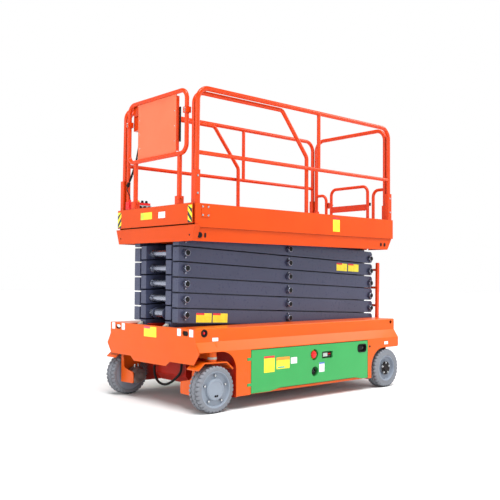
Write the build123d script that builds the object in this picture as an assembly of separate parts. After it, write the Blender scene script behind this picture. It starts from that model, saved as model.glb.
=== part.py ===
"""Electric slab scissor lift with a six-level scissor stack, a roll-out deck and folding rails.

Millimetres. X is forward towards the steered wheels, Y is the machine's left, Z is up.
The origin is on the ground under the middle of the machine.
"""

import os
from math import asin, cos, pi, radians, sin, tan

from build123d import *

# Wheels and axles
wheelbase = 2220
wheel_radius = 190.5
tyre_width = 127
machine_width = 1400
front_axle_x = 1156
rear_axle_x = front_axle_x - wheelbase
wheel_y = machine_width / 2 - tyre_width / 2
front_rim_radius = 150
rear_rim_radius = 128
hub_bore = 25
running_gap = 0.05
kingpin_radius = 28
kingpin_top = 512

# Chassis
chassis_front = 1333
chassis_rear = -1254
chassis_top = 680
band_bottom = 573
flare_bottom = 494
band_half = machine_width / 2 - 54
skin = 6
well_half = 358
well_floor = 548
door_front = 776
door_rear = -762
door_bottom = 120
door_top = 484
tray_bottom = 146
door_gap = 6
hinge_x = 808
hinge_y = machine_width / 2 - 10
hinge_radius = 10
hinge_pin_radius = 6
hinge_heights = (195, 410)
hinge_half = 12
guard_y = machine_width / 2 - 24
guard_z = 121
guard_pin_radius = 8
slot_y = 512
slot_z = 640
slot_length = 78
slot_height = 40
band_hole_z = 646
knob_x = 1243
knob_hole_radius = 24
tie_down_x = -1200
tie_down_radius = 17.5
front_arch_x = 942
front_arch_radius = 162
rear_arch_x = -820
rear_arch_top = 400
rear_arch_radius = 190
bulkhead_thick = 8
rear_bulkhead_x = -772
belly_bottom = 170
belly_front = 1110
belly_half = 228
beam_inner = 160
beam_outer = 250
beam_bottom = 440
beam_gap = 0.2
cross_member_x = (-1205, -640, 0, 640, 1180)
cross_member_half = 40
lug_inner = 205
lug_outer = 233

# Recesses in the door: stop button, display, charging socket and latch
stop_x, stop_z, stop_radius = 1, 396, 50
display_x, display_z, display_length, display_height = -175, 384, 147, 63
socket_x, socket_z, socket_radius = -8, 243, 45
latch_x, latch_z, latch_length, latch_height = -675, 415, 120, 71
recess_depth = 32
recess_wall = 3

# Scissor stack
levels = 6
pin_spacing = 2455
level_pitch = 131
rear_pin_x = -1245
base_pin_z = 650
pin_radius = 20
arm_depth = 120
pin_offset = 12
outer_arm_inner = 250
outer_arm_outer = 334
inner_arm_inner = 150
inner_arm_outer = 229
arm_front_overhang = 70
arm_rear_overhang = 42
arm_end_round = 30
arm_front_round = 6
boss_radius = 34
cross_tube_radius = 28
roller_radius = 30
roller_inner = 96
roller_outer = 140
track_length = 1390
track_gap = 1
track_lip = 5
fold_angle = asin(level_pitch / pin_spacing)
front_pin_x = rear_pin_x + pin_spacing * cos(fold_angle)

# Lift cylinder, carried by the second and fourth inner arms
barrel_seat = 2300
rod_seat = 350
rod_seat_drop = 45
barrel_level = 2
rod_level = 4
barrel_radius = 52
rod_radius = 32
cylinder_eye_radius = 52
cylinder_eye_width = 60
rod_eye_radius = 44
gland_setback = 150

# Platform
platform_rear = -1333
platform_half = 575
skirt_top = 1524
skirt_bottom = 1396
skirt_top_half = 600
skirt_side_half = 562
skirt_bottom_half = 556
skirt_front = 1312
skirt_corner = 56
skirt_rear_run = 68
deck_top = 1556
toe_board_bottom = 1512
toe_board_top = 1709
toe_board_front = 1290
board = 4
platform_front = 1231
deck_lug_inner = 240
deck_lug_outer = 276
skirt_hole_radius = 9
skirt_hole_y = 525
skirt_hole_z = 1446
skirt_plug_x = 1230
skirt_plug_radius = 20
extension_sheet = 11.7
rail_radius = 21
rail_y = 547
rail_top = 2676
mid_rail_z = 2132
rail_front_x = 1260
rail_rear_x = -1290
rail_bend = 110
socket_half = 26
socket_half_width = 23.5
socket_top = 1985

# Roll-out extension
extension_travel = 900
extension_half = 517
extension_rail_y = 498
extension_socket_half = 19.5
extension_front = 1317
extension_rear = -118
extension_rail_radius = 19
extension_rail_top = 2645
front_loop_x = 1283
front_loop_half = 458
front_loop_bottom = 2140
front_loop_top = 2672
panel_half = 292
front_post_y = 335
front_foot_height = 225
front_toe_half = 568
control_box_y = -370
control_box_bottom = front_loop_top - 232

# Cords: the points run from where each one leaves its gland
curly_radius = 12
curly_route = [
    (1200, -392, 2420), (1200, -392, 2368), (1206, -394, 2310), (1214, -398, 2250), (1223, -403, 2192),
    (1233, -410, 2136), (1244, -419, 2088), (1255, -428, 2044), (1266, -438, 2005), (1276, -448, 1965)]
coupler_radius = 15
lead_radius = 4.5
lead_route = [
    (1286, -458, 1925), (1290, -462, 1909), (1289, -457, 1889), (1284, -447, 1871), (1278, -438, 1852),
    (1273, -435, 1830), (1273, -435, 1806)]
hose_radius = 11
axle_hose_route = [
    (1140, -205, 304), (1140, -205, 262), (1144, -191, 218), (1148, -160, 184), (1152, -112, 158), (1153, -56, 148),
    (1152, 4, 154), (1150, 60, 176), (1148, 112, 206), (1144, 158, 240), (1141, 193, 276), (1140, 205, 316),
    (1140, 205, 356)]

# Rear gate
gate_half = 280
gate_top = 2095
gate_bar_radius = 17
gate_x = -1300
gate_hinge_y = -300
gate_hinge_heights = (1690, 1920)
gate_hinge_half = 22
gate_hinge_radius = 9
gate_pin_radius = 5
hoop_y = 340
hoop_top = 2040

os.makedirs("parts", exist_ok=True)


def block(x0, x1, y0, y1, z0, z1):
    """Box between two corners."""
    return Pos((x0 + x1) / 2, (y0 + y1) / 2, (z0 + z1) / 2) * Box(x1 - x0, y1 - y0, z1 - z0)


def outline(corners):
    """Closed flat face; each corner is (u, v) or (u, v, corner radius)."""
    points = [corner[:2] for corner in corners]
    rounds = [corner[2] if len(corner) > 2 else 0 for corner in corners]
    return make_face(FilletPolyline(*points, radius=rounds, close=True))


def side_plate(corners, y0, y1):
    """Plate drawn in X and Z, between two values of Y."""
    plane = Plane((0, y1, 0), x_dir=(1, 0, 0), z_dir=(0, -1, 0))
    return extrude(plane * outline(corners), y1 - y0)


def cross_plate(corners, x0, x1):
    """Plate drawn in Y and Z, between two values of X."""
    plane = Plane((x0, 0, 0), x_dir=(0, 1, 0), z_dir=(1, 0, 0))
    return extrude(plane * outline(corners), x1 - x0)


def flat_plate(corners, z0, z1):
    """Plate drawn in X and Y, between two values of Z."""
    return extrude(Plane((0, 0, z0)) * outline(corners), z1 - z0)


def rod_y(radius, x, z, y0, y1):
    """Round bar along Y."""
    return Pos(x, (y0 + y1) / 2, z) * Rot(90, 0, 0) * Cylinder(radius, y1 - y0)


def rod_x(radius, y, z, x0, x1):
    """Round bar along X."""
    return Pos((x0 + x1) / 2, y, z) * Rot(0, 90, 0) * Cylinder(radius, x1 - x0)


def rod_z(radius, x, y, z0, z1):
    """Round bar along Z."""
    return Pos(x, y, (z0 + z1) / 2) * Cylinder(radius, z1 - z0)


def bent_tube(points, radius, bends):
    """Round bar through the points, bent to the given radii."""
    path = FilletPolyline(*points, radius=bends)
    return sweep(Plane(path @ 0, z_dir=path % 0) * Circle(radius), path)


def mirrored(shape):
    """The same piece on the other side of the machine."""
    return mirror(shape, about=Plane.XZ)


def pair(shape):
    return shape + mirrored(shape)


def save(name, shape):
    export_step(shape, f"parts/{name}.step")


# Wheels

def tyre(axle_x, rim_radius):
    """Solid tyre with rounded shoulders and two grooves round the tread."""
    half = tyre_width / 2
    groove_half, groove_depth, groove_y = 4, 7, 26
    profile = outline([
        (rim_radius, -half), (wheel_radius - 14, -half), (wheel_radius, -half + 14, 12),
        (wheel_radius, -groove_y - groove_half), (wheel_radius - groove_depth, -groove_y - groove_half),
        (wheel_radius - groove_depth, -groove_y + groove_half), (wheel_radius, -groove_y + groove_half),
        (wheel_radius, groove_y - groove_half), (wheel_radius - groove_depth, groove_y - groove_half),
        (wheel_radius - groove_depth, groove_y + groove_half), (wheel_radius, groove_y + groove_half),
        (wheel_radius, half - 14, 12), (wheel_radius - 14, half), (rim_radius, half)])
    ring = revolve(profile, Axis.Y)
    return Pos(axle_x, wheel_y, wheel_radius) * ring


def front_rim():
    """Cast wheel with a dished web, a raised hub cover and five wheel bolts."""
    half = tyre_width / 2
    profile = outline([
        (hub_bore + running_gap, -half + 6), (front_rim_radius, -half + 6),
        (front_rim_radius, half - 3), (front_rim_radius - 9, half - 3, 3),
        (front_rim_radius - 18, half - 26, 6), (92, half - 26, 4), (86, half - 6, 4), (0, half - 6),
        (0, half - 34), (hub_bore + running_gap, half - 34)])
    wheel = revolve(profile, Axis.Y)
    bolt_circle = 112
    for turn in range(5):
        angle = radians(72 * turn + 18)
        x, z = bolt_circle * cos(angle), bolt_circle * sin(angle)
        wheel += rod_y(8, x, z, half - 27, half - 15)
    return Pos(front_axle_x, wheel_y, wheel_radius) * wheel


def rear_rim():
    """Deeper rear wheel with a bolted bearing hub."""
    half = tyre_width / 2
    profile = outline([
        (hub_bore + running_gap, -half + 6), (rear_rim_radius, -half + 6),
        (rear_rim_radius, half - 3), (rear_rim_radius - 10, half - 3, 3),
        (rear_rim_radius - 18, half - 32, 6), (74, half - 32, 3), (70, half - 14, 4),
        (34, half - 14, 3), (30, half - 6, 3), (0, half - 6),
        (0, half - 40), (hub_bore + running_gap, half - 40)])
    wheel = revolve(profile, Axis.Y)
    for turn in range(5):
        angle = radians(72 * turn + 90)
        x, z = 52 * cos(angle), 52 * sin(angle)
        wheel += rod_y(7, x, z, half - 15, half - 6)
    return Pos(rear_axle_x, wheel_y, wheel_radius) * wheel


# Steering knuckles

def knuckle():
    """Bent guard plate over the tyre on a kingpin, with the fork plate and spindle inside it."""
    fork_outer = wheel_y - tyre_width / 2 - 12
    fork_inner = fork_outer - 14
    guard_path = [(-184, 345), (-116, 404), (116, 410), (184, 355)]
    guard = trace(FilletPolyline(*guard_path, radius=14), 10)
    plane = Plane((front_axle_x, machine_width / 2 - 6, 0), x_dir=(1, 0, 0), z_dir=(0, -1, 0))
    body = extrude(plane * guard, machine_width / 2 - 6 - fork_inner)
    fork = side_plate([
        (-112, 401), (-98, 300, 30), (-66, 226, 20), (-66, 132, 20), (66, 126, 20),
        (112, 176, 30), (104, 300, 30), (112, 403)], fork_inner, fork_outer)
    body += Pos(front_axle_x, 0, 0) * fork
    flange = cross_plate([
        (fork_inner - 186, 132, 16), (fork_outer, 128), (fork_outer, 398), (fork_inner - 18, 398),
        (fork_inner - 34, 262, 40), (fork_inner - 120, 244, 30), (fork_inner - 186, 232, 20)], 100, 110)
    body += Pos(front_axle_x, 0, 0) * flange
    body += rod_y(46, front_axle_x, wheel_radius, fork_outer, fork_outer + 12 + 5)
    spindle_end = wheel_y + tyre_width / 2 - 36
    body += rod_y(hub_bore, front_axle_x, wheel_radius, fork_outer, spindle_end)
    body += rod_z(kingpin_radius, front_axle_x, wheel_y, 400, kingpin_top - 4)
    body += rod_z(kingpin_radius + 12, front_axle_x, wheel_y, 412, 431.7)
    return body


def drive_motor():
    """Hydraulic wheel motor and brake on the inside of the fork plate."""
    fork_inner = wheel_y - tyre_width / 2 - 26
    motor = rod_y(62, front_axle_x, wheel_radius, fork_inner - 40, fork_inner)
    motor += rod_y(52, front_axle_x, wheel_radius, fork_inner - 104, fork_inner - 40)
    motor += rod_y(58, front_axle_x, wheel_radius, fork_inner - 138, fork_inner - 104)
    motor += block(front_axle_x - 30, front_axle_x + 30, fork_inner - 100, fork_inner - 46,
                   wheel_radius + 30, wheel_radius + 74)
    return motor


# Chassis

def arch_cut(x_far, x_corner, top, radius):
    """Wheel opening in the side skin, with one rounded upper corner."""
    low = -10
    return side_plate([(x_far, low), (x_corner, low), (x_corner, top, radius), (x_far, top)],
                      well_half, machine_width)


def chassis_side():
    """One bent skin: well wall, top, upright band, flare and the plates beside the door."""
    bend = 8
    half = skin / 2
    section = trace(FilletPolyline(
        (beam_outer - 10, well_floor + half), (well_half + half, well_floor + half),
        (well_half + half, chassis_top - half), (band_half - half, chassis_top - half),
        (band_half - half, band_bottom), (machine_width / 2 - half, flare_bottom),
        (machine_width / 2 - half, door_bottom - 8), radius=bend), skin)
    plane = Plane((chassis_rear + skin, 0, 0), x_dir=(0, 1, 0), z_dir=(1, 0, 0))
    body = extrude(plane * section, chassis_front - chassis_rear - 2 * skin)
    body -= arch_cut(chassis_front + 10, front_arch_x, flare_bottom, front_arch_radius)
    body -= arch_cut(chassis_rear - 10, rear_arch_x, rear_arch_top, rear_arch_radius)
    body -= rod_y(knob_hole_radius, knob_x, band_hole_z, band_half - 2 * skin, band_half + 1)
    body -= rod_y(tie_down_radius, tie_down_x, band_hole_z, band_half - 2 * skin, band_half + 1)
    door_hole = block(door_rear - door_gap, door_front + door_gap, machine_width / 2 - 40,
                      machine_width / 2 + 10, 0, door_top + door_gap)
    body -= door_hole
    # Notches for the door's hinge tabs, with a pin barrel above and below each
    for z in hinge_heights:
        notch = hinge_half + 1
        body -= block(door_front, hinge_x + hinge_radius + 6, hinge_y - 2 * hinge_radius, machine_width / 2 + 1,
                      z - notch, z + notch)
        for low, high in ((z - notch - 14, z - notch), (z + notch, z + notch + 14)):
            body += rod_z(hinge_radius, hinge_x, hinge_y, low, high)
            body -= rod_z(hinge_pin_radius + running_gap, hinge_x, hinge_y, low, high)
    # Pressed gusset in the flare over the steered wheel
    gusset = loft([
        Plane((1165, 0, 0), x_dir=(0, 1, 0), z_dir=(1, 0, 0)) * outline(
            [(band_half - 2, band_bottom - 2), (band_half - 1, band_bottom - 8), (band_half - 6, band_bottom - 8)]),
        Plane((1128, 0, 0), x_dir=(0, 1, 0), z_dir=(1, 0, 0)) * outline(
            [(band_half - 2, band_bottom + 6), (machine_width / 2 - 20, band_bottom - 44),
             (band_half - 6, band_bottom - 20)])])
    body += gusset
    return body


def wheel_bulkheads():
    """Four plates inside the side skins that close the wheel wells and carry the door and the guard's pin."""
    low, inner_round = guard_z - guard_pin_radius - 9, 6.5
    outer, band = machine_width / 2 - skin, band_half - skin
    corners = [(beam_outer, belly_bottom), (guard_y - 40, low), (outer, low), (outer, flare_bottom - 1, inner_round),
               (band, band_bottom - 1), (band, chassis_top - skin, inner_round),
               (well_half + skin, chassis_top - skin, inner_round), (well_half + skin, well_floor),
               (beam_outer, well_floor)]
    plates = cross_plate(corners, front_arch_x - bulkhead_thick, front_arch_x)
    plates += cross_plate(corners, rear_bulkhead_x - bulkhead_thick, rear_bulkhead_x)
    plates -= rod_x(guard_pin_radius + running_gap, guard_y, guard_z, chassis_rear, chassis_front)
    return pair(plates)


def front_panel():
    """Flat front plate that follows the flare, stepped at its lower edge."""
    step_half, step_bottom, edge_bottom = 245, 352, 392
    half_outline = [
        (machine_width / 2, flare_bottom - 10, 20), (machine_width / 2 - 70, edge_bottom, 24),
        (step_half + 55, edge_bottom), (step_half, step_bottom)]
    corners = [(-band_half, chassis_top, 10), (-band_half, band_bottom, 20)]
    corners += [(-c[0], *c[1:]) for c in half_outline]
    corners += [c for c in reversed(half_outline)]
    corners += [(band_half, band_bottom, 20), (band_half, chassis_top, 10)]
    panel = cross_plate(corners, chassis_front - skin, chassis_front)
    # Tie-down slots
    plane = Plane((chassis_front - skin - 1, slot_y, slot_z), x_dir=(0, 1, 0), z_dir=(1, 0, 0))
    panel -= pair(extrude(plane * SlotOverall(slot_length, slot_height), skin + 2))
    return panel


def rear_panel():
    """Back plate between the rear wheels, low in the middle and open over the scissor arms."""
    notch_half, bottom, wheel_clear = well_half, 250, 550
    corners = [
        (-band_half, chassis_top, 10), (-band_half, band_bottom, 20), (-machine_width / 2, flare_bottom, 20),
        (-machine_width / 2, rear_arch_top + 6, 14), (-wheel_clear, rear_arch_top + 6), (-wheel_clear + 30, bottom, 30)]
    corners += [(-c[0], *c[1:]) for c in reversed(corners)]
    corners += [(notch_half, chassis_top), (notch_half, well_floor),
                (-notch_half, well_floor), (-notch_half, chassis_top)]
    return cross_plate(corners, chassis_rear, chassis_rear + skin)


def chassis_frame():
    """Two long beams with cross members, the roller tracks and the rear pivot lugs."""
    x0, x1 = chassis_rear + skin, chassis_front - skin
    frame = pair(block(x0, x1, beam_inner, beam_outer, beam_bottom, well_floor))
    for x in cross_member_x:
        frame += block(x - cross_member_half, x + cross_member_half, -beam_inner, beam_inner, beam_bottom, well_floor)
    # C-shaped tracks: bed, web and hold-down lip
    lip = track_lip
    track_inner, track_outer = roller_inner - 6 - lip, roller_outer + 5
    track_x0, track_x1 = front_pin_x - track_length, front_pin_x + 55
    floor_z = base_pin_z - roller_radius - 0.3
    top_z = base_pin_z + roller_radius + track_gap
    track = block(track_x0, track_x1, track_inner, track_outer, well_floor, floor_z)
    track += block(track_x0, track_x1, track_inner, track_inner + lip, floor_z, top_z + lip)
    track += block(track_x0, track_x1, track_inner, track_outer, top_z, top_z + lip)
    frame += pair(track)
    lug = side_plate([(rear_pin_x - 40, well_floor), (rear_pin_x - 38, base_pin_z + 38, 37),
                      (rear_pin_x + 38, base_pin_z + 38, 37), (rear_pin_x + 70, well_floor)], lug_inner, lug_outer)
    lug -= rod_y(pin_radius + running_gap, rear_pin_x, base_pin_z, lug_inner - 1, lug_outer + 1)
    frame += pair(lug)
    return frame


def belly():
    """Closed lower box between the trays, with the two hose unions on its front."""
    body = side_plate([(-600, belly_bottom + 40, 20), (-560, belly_bottom), (belly_front - 70, belly_bottom, 10),
                       (belly_front, belly_bottom + 70, 20), (belly_front, beam_bottom), (-600, beam_bottom)],
                      -belly_half, belly_half)
    for x, y, z in (axle_hose_route[0], axle_hose_route[-1]):
        body += block(belly_front, x + hose_radius + 6, y - hose_radius - 8, y + hose_radius + 8, z + 14, z + 42)
        body += rod_z(hose_radius + 4, x, y, z, z + 14)
    return body


def front_axle():
    """Cross beam over the steered wheels with a kingpin housing at each end."""
    beam_low, beam_high, half_x = 436, 514, 45
    housing_radius = 40
    body = block(front_axle_x - half_x, front_axle_x + half_x, -wheel_y, wheel_y, beam_low, beam_high)
    body -= block(front_axle_x - half_x - 1, front_axle_x + half_x + 1, -beam_outer - beam_gap, beam_outer + beam_gap,
                  beam_low - 6, well_floor)
    body += pair(rod_z(housing_radius, front_axle_x, wheel_y, beam_low, kingpin_top))
    body -= pair(rod_z(kingpin_radius + running_gap, front_axle_x, wheel_y, beam_low - 1, kingpin_top + 1))
    return body


def rear_axle():
    """Fixed rear axle: a box beam, two hanging plates and the wheel spindles."""
    plate_outer = wheel_y - tyre_width / 2 - 14
    body = block(rear_axle_x - 45, rear_axle_x + 45, -plate_outer, plate_outer, 360, beam_bottom - beam_gap)
    hanger = side_plate([(-120, 440), (-60, 140, 20), (60, 140, 20), (120, 440)], plate_outer - 16, plate_outer)
    body += pair(Pos(rear_axle_x, 0, 0) * hanger)
    body += pair(rod_y(48, rear_axle_x, wheel_radius, plate_outer, plate_outer + 18))
    spindle_end = wheel_y + tyre_width / 2 - 42
    body += pair(rod_y(hub_bore, rear_axle_x, wheel_radius, plate_outer - 16, spindle_end))
    return body


def door():
    """Swing-out door with its hinge tabs and pins, in the plane of the side skin."""
    outer, thick, flange_depth = machine_width / 2, 5, 40
    bow = door_bottom + 20
    panel = side_plate([(door_front, door_bottom), (door_front, door_top), (door_rear, door_top),
                        (door_rear, door_bottom), (door_rear + 90, door_bottom), (door_rear + 200, bow, 300),
                        (door_front - 340, bow, 300), (door_front - 220, door_bottom)], outer - thick, outer)
    for x, z, radius in ((stop_x, stop_z, stop_radius), (socket_x, socket_z, socket_radius)):
        panel += rod_y(radius + recess_wall, x, z, outer - recess_depth - recess_wall, outer - thick)
        panel -= rod_y(radius, x, z, outer - recess_depth, outer + 1)
    for x, z, length, height in ((display_x, display_z, display_length, display_height),
                                 (latch_x, latch_z, latch_length, latch_height)):
        cup = Pos(x, outer - recess_depth / 2, z) * Rot(90, 0, 0) * extrude(RectangleRounded(length, height, 12), recess_depth / 2, both=True)
        wall = Pos(x, outer - thick / 2 - (recess_depth + recess_wall) / 2, z) * Rot(90, 0, 0) * extrude(
            RectangleRounded(length + 2 * recess_wall, height + 2 * recess_wall, 12 + recess_wall),
            (recess_depth + recess_wall - thick) / 2, both=True)
        panel += wall
        panel -= cup
    for x0 in (door_front - 10, door_rear + 4):
        panel += block(x0, x0 + thick, outer - flange_depth, outer - thick,
                       guard_z + guard_pin_radius + 6, door_top - 4)
    for z in hinge_heights:
        panel += block(door_front - 10, hinge_x, hinge_y, outer, z - hinge_half, z + hinge_half)
        panel += rod_z(hinge_radius, hinge_x, hinge_y, z - hinge_half, z + hinge_half)
        panel += rod_z(hinge_pin_radius, hinge_x, hinge_y, z - hinge_half - 15, z + hinge_half + 15)
    return panel


def door_tray():
    """Folded tray that swings out with the door, with two uprights against it."""
    outer, depth, sheet, upright = machine_width / 2 - 5, 380, 5, 60
    low, lip_top = tray_bottom, tray_bottom + 82
    x0, x1 = latch_x + latch_length / 2 + 15, door_front - 90
    tray = block(x0, x1, outer - depth, outer, low, low + sheet)
    tray += block(x0, x1, outer - depth, outer - depth + sheet, low + sheet, lip_top)
    for x in (x0, x1 - sheet):
        tray += block(x, x + sheet, outer - depth, outer, low + sheet, lip_top)
        tray += block(x, x + sheet, outer - upright, outer, lip_top, door_top - 10)
    return tray


def battery_pack():
    """Traction batteries as one block."""
    outer, width, height = machine_width / 2 - 5 - 45, 315, 277
    x0, x1 = latch_x + latch_length / 2 + 30, door_front - 150
    return block(x0, x1, outer - width, outer, tray_bottom + 5, tray_bottom + 5 + height)


def hydraulic_unit():
    """Pump, motor and tank block with the charger beside it."""
    outer, width, height = machine_width / 2 - 5 - 70, 280, 267
    x0, x1 = latch_x + latch_length / 2 + 30, door_front - 150
    return block(x0, x1, outer - width, outer, tray_bottom + 5, tray_bottom + 5 + height)


def pothole_guard():
    """Folded bar under the tray that swings down when the platform rises."""
    depth, x0, x1 = 92, door_rear + 60, door_front - 60
    guard = block(x0, x1, guard_y - depth, guard_y, guard_z - 3, guard_z + 3)
    guard += block(x0, x1, guard_y, guard_y + 10, guard_z - 3, guard_z + 3)
    guard += block(x0, x1, guard_y + 6, guard_y + 10, guard_z - 8, guard_z + 12)
    guard += rod_x(guard_pin_radius, guard_y, guard_z, rear_bulkhead_x - bulkhead_thick + 2, front_arch_x - 2)
    return guard


def ladder():
    """Access ladder on the back plate, its stiles outside the scissor arms' width."""
    stile_y, stile_width, stile_half = 362, 26, 17
    low_z, top_z, rungs, rung_pitch = 400, 1262, 5, 190
    rear_reach = -(front_axle_x + wheel_radius)
    top_x, low_x = rear_reach + stile_half, rear_reach + stile_half + 18
    rung_depth = 20
    stile = side_plate([(low_x - stile_half, low_z), (low_x + stile_half, low_z),
                        (top_x + stile_half, top_z, 12), (top_x - stile_half, top_z, 12)],
                       stile_y, stile_y + stile_width)
    body = pair(stile)
    for step in range(rungs):
        z = low_z + 25 + step * rung_pitch
        body += block(rear_reach, rear_reach + rung_depth, -stile_y - 10, stile_y + 10, z - 12, z + 12)
    for z in (440, 620):
        body += pair(block(low_x, chassis_rear, stile_y + 4, stile_y + stile_width - 4, z - 20, z + 20))
    return body


# Scissor arms

def front_pin_z(level):
    return base_pin_z + level * level_pitch


def rear_pin_z(level):
    return base_pin_z + (level - 1) * level_pitch


def arm_tube(low_x, high_x, low_pin_z, y0, y1):
    """Box tube between its low and high pins; its line sits above the low pin and below the high one."""
    rise = level_pitch - 2 * pin_offset
    slope = rise / (high_x - low_x)
    mid_x, mid_z = (low_x + high_x) / 2, low_pin_z + level_pitch / 2
    x0, x1 = rear_pin_x - arm_rear_overhang, front_pin_x + arm_front_overhang
    at = lambda x: mid_z + (x - mid_x) * slope
    d = arm_depth / 2
    return side_plate([(x0, at(x0) - d, arm_end_round), (x1, at(x1) - d, arm_front_round),
                       (x1, at(x1) + d, arm_front_round), (x0, at(x0) + d, arm_end_round)], y0, y1)


def outer_arm(level):
    """Outer frame: rear end low, front end high, with the pins that run through the inner frame."""
    rear_z, front_z = rear_pin_z(level), front_pin_z(level)
    tube = arm_tube(rear_pin_x, front_pin_x, rear_z, outer_arm_inner, outer_arm_outer)
    mid_x = (rear_pin_x + front_pin_x) / 2
    boss_inner, boss_height, keeper_thick, keeper_size = inner_arm_outer + 6, 8, 8, 34
    pins = [(rear_pin_x, rear_z), (mid_x, (rear_z + front_z) / 2), (front_pin_x, front_z)]
    reaches = [lug_inner - 5 if level == 1 else inner_arm_inner, inner_arm_inner,
               roller_inner if level == levels else inner_arm_inner]
    for (x, z), reach in zip(pins, reaches):
        tube += rod_y(pin_radius, x, z, reach, outer_arm_outer)
        tube += rod_y(boss_radius, x, z, outer_arm_outer, outer_arm_outer + boss_height)
        tube += rod_y(boss_radius, x, z, boss_inner, outer_arm_inner)
        tube += (Pos(x, outer_arm_outer + boss_height + keeper_thick / 2, z) * Rot(0, 45, 0) *
                 Box(keeper_size, keeper_thick, keeper_size))
    if level == levels:
        tube += rod_y(roller_radius, front_pin_x, front_z, roller_inner, roller_outer)
    return pair(tube)


def inner_arm(level):
    """Inner frame: front end low, rear end high, tied by round cross tubes."""
    front_z, rear_z = rear_pin_z(level), front_pin_z(level)
    tube = arm_tube(front_pin_x, rear_pin_x, front_z, inner_arm_inner, inner_arm_outer)
    bores = [((rear_pin_x + front_pin_x) / 2, (rear_z + front_z) / 2)]
    if level > 1:
        bores.append((front_pin_x, front_z))
    if level < levels:
        bores.append((rear_pin_x, rear_z))
    for x, z in bores:
        tube -= rod_y(pin_radius + running_gap, x, z, inner_arm_inner - 1, inner_arm_outer + 1)
    if level == 1:
        tube += rod_y(pin_radius, front_pin_x, front_z, roller_inner, inner_arm_outer + 8)
        tube += rod_y(roller_radius, front_pin_x, front_z, roller_inner, roller_outer)
    if level == levels:
        tube += rod_y(pin_radius, rear_pin_x, rear_z, inner_arm_outer, deck_lug_outer + 9)
    frame = pair(tube)
    reach = inner_arm_inner
    cross_tubes = [(rear_pin_x, rear_z)]
    if level > 1:
        cross_tubes.append((front_pin_x, front_z))
    if level == 1:
        cross_tubes.append(arm_seat(level, barrel_seat - 500))
    if level == barrel_level:
        cross_tubes.append(arm_seat(level, barrel_seat))
        sleeve_radius, flange_radius, sleeve_half, flange_thick = 38, 50, 70, 10
        frame += rod_y(sleeve_radius, front_pin_x, front_z, -sleeve_half, sleeve_half)
        frame += pair(rod_y(flange_radius, front_pin_x, front_z, sleeve_half, sleeve_half + flange_thick))
    if level == rod_level:
        x, z = arm_seat(level, rod_seat)
        eye_z = z - rod_seat_drop
        tie_x, tie_z = x - 36, z + 40
        cross_tubes.append((tie_x, tie_z))
        ear = side_plate([(tie_x - 26, tie_z), (x - 24, eye_z - 24, 22), (x + 24, eye_z - 24, 22),
                          (tie_x + 26, tie_z)], cylinder_eye_width / 2 + 6, cylinder_eye_width / 2 + 22)
        ear -= rod_y(pin_radius, x, eye_z, 0, inner_arm_inner)
        frame += pair(ear)
    for x, z in cross_tubes:
        frame += rod_y(cross_tube_radius, x, z, -reach, reach)
    return frame


def arm_seat(level, distance):
    """Point on an inner arm's pin line, at a distance from its low front pin."""
    return front_pin_x - distance * cos(fold_angle), rear_pin_z(level) + distance * sin(fold_angle)


def cylinder_line():
    """Seat points of the lift cylinder: barrel end at the rear, rod end forward."""
    start_x, start_z = arm_seat(barrel_level, barrel_seat)
    end_x, end_z = arm_seat(rod_level, rod_seat)
    return Vector(start_x, 0, start_z), Vector(end_x, 0, end_z - rod_seat_drop)


def along_cylinder(radius, near, far):
    """Round bar on the cylinder's axis, between two distances from the barrel's seat."""
    start, end = cylinder_line()
    way = (end - start).normalized()
    plane = Plane(start + way * near, z_dir=way)
    return extrude(plane * Circle(radius), far - near)


def lift_barrel():
    """Cylinder barrel with the eye that runs on an inner frame's cross tube."""
    start, end = cylinder_line()
    half = cylinder_eye_width / 2
    span = (end - start).length
    body = rod_y(cylinder_eye_radius, start.X, start.Z, -half, half)
    body += along_cylinder(barrel_radius, 40, span - gland_setback)
    body += along_cylinder(barrel_radius + 7, span - gland_setback - 55, span - gland_setback)
    body -= rod_y(cross_tube_radius + running_gap, start.X, start.Z, -half - 1, half + 1)
    body -= along_cylinder(rod_radius + running_gap, 120, span - gland_setback + 1)
    return body


def lift_rod():
    """Piston rod with its eye."""
    start, end = cylinder_line()
    half = cylinder_eye_width / 2
    body = along_cylinder(rod_radius, 130, (end - start).length - pin_radius - 8)
    body += rod_y(rod_eye_radius, end.X, end.Z, -half, half)
    body -= rod_y(pin_radius, end.X, end.Z, -half - 1, half + 1)
    return body


# Platform

def skirt_solid(top_half, inset):
    """Skirt's outer shape, or its inside when inset, with sloping sides and a rear that runs forward."""
    overrun = 1 if inset else 0
    low_rear, low_front = platform_rear + skirt_rear_run + inset, skirt_front - 2 - inset
    high_rear, high_front = platform_rear + inset, skirt_front - inset
    return loft([
        Plane((0, 0, skirt_bottom - overrun)) * Pos((low_rear + low_front) / 2, 0) *
        Rectangle(low_front - low_rear, 2 * (skirt_bottom_half - inset)),
        Plane((0, 0, skirt_top + overrun)) * Pos((high_rear + high_front) / 2, 0) *
        Rectangle(high_front - high_rear, 2 * (top_half - inset))])


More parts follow.
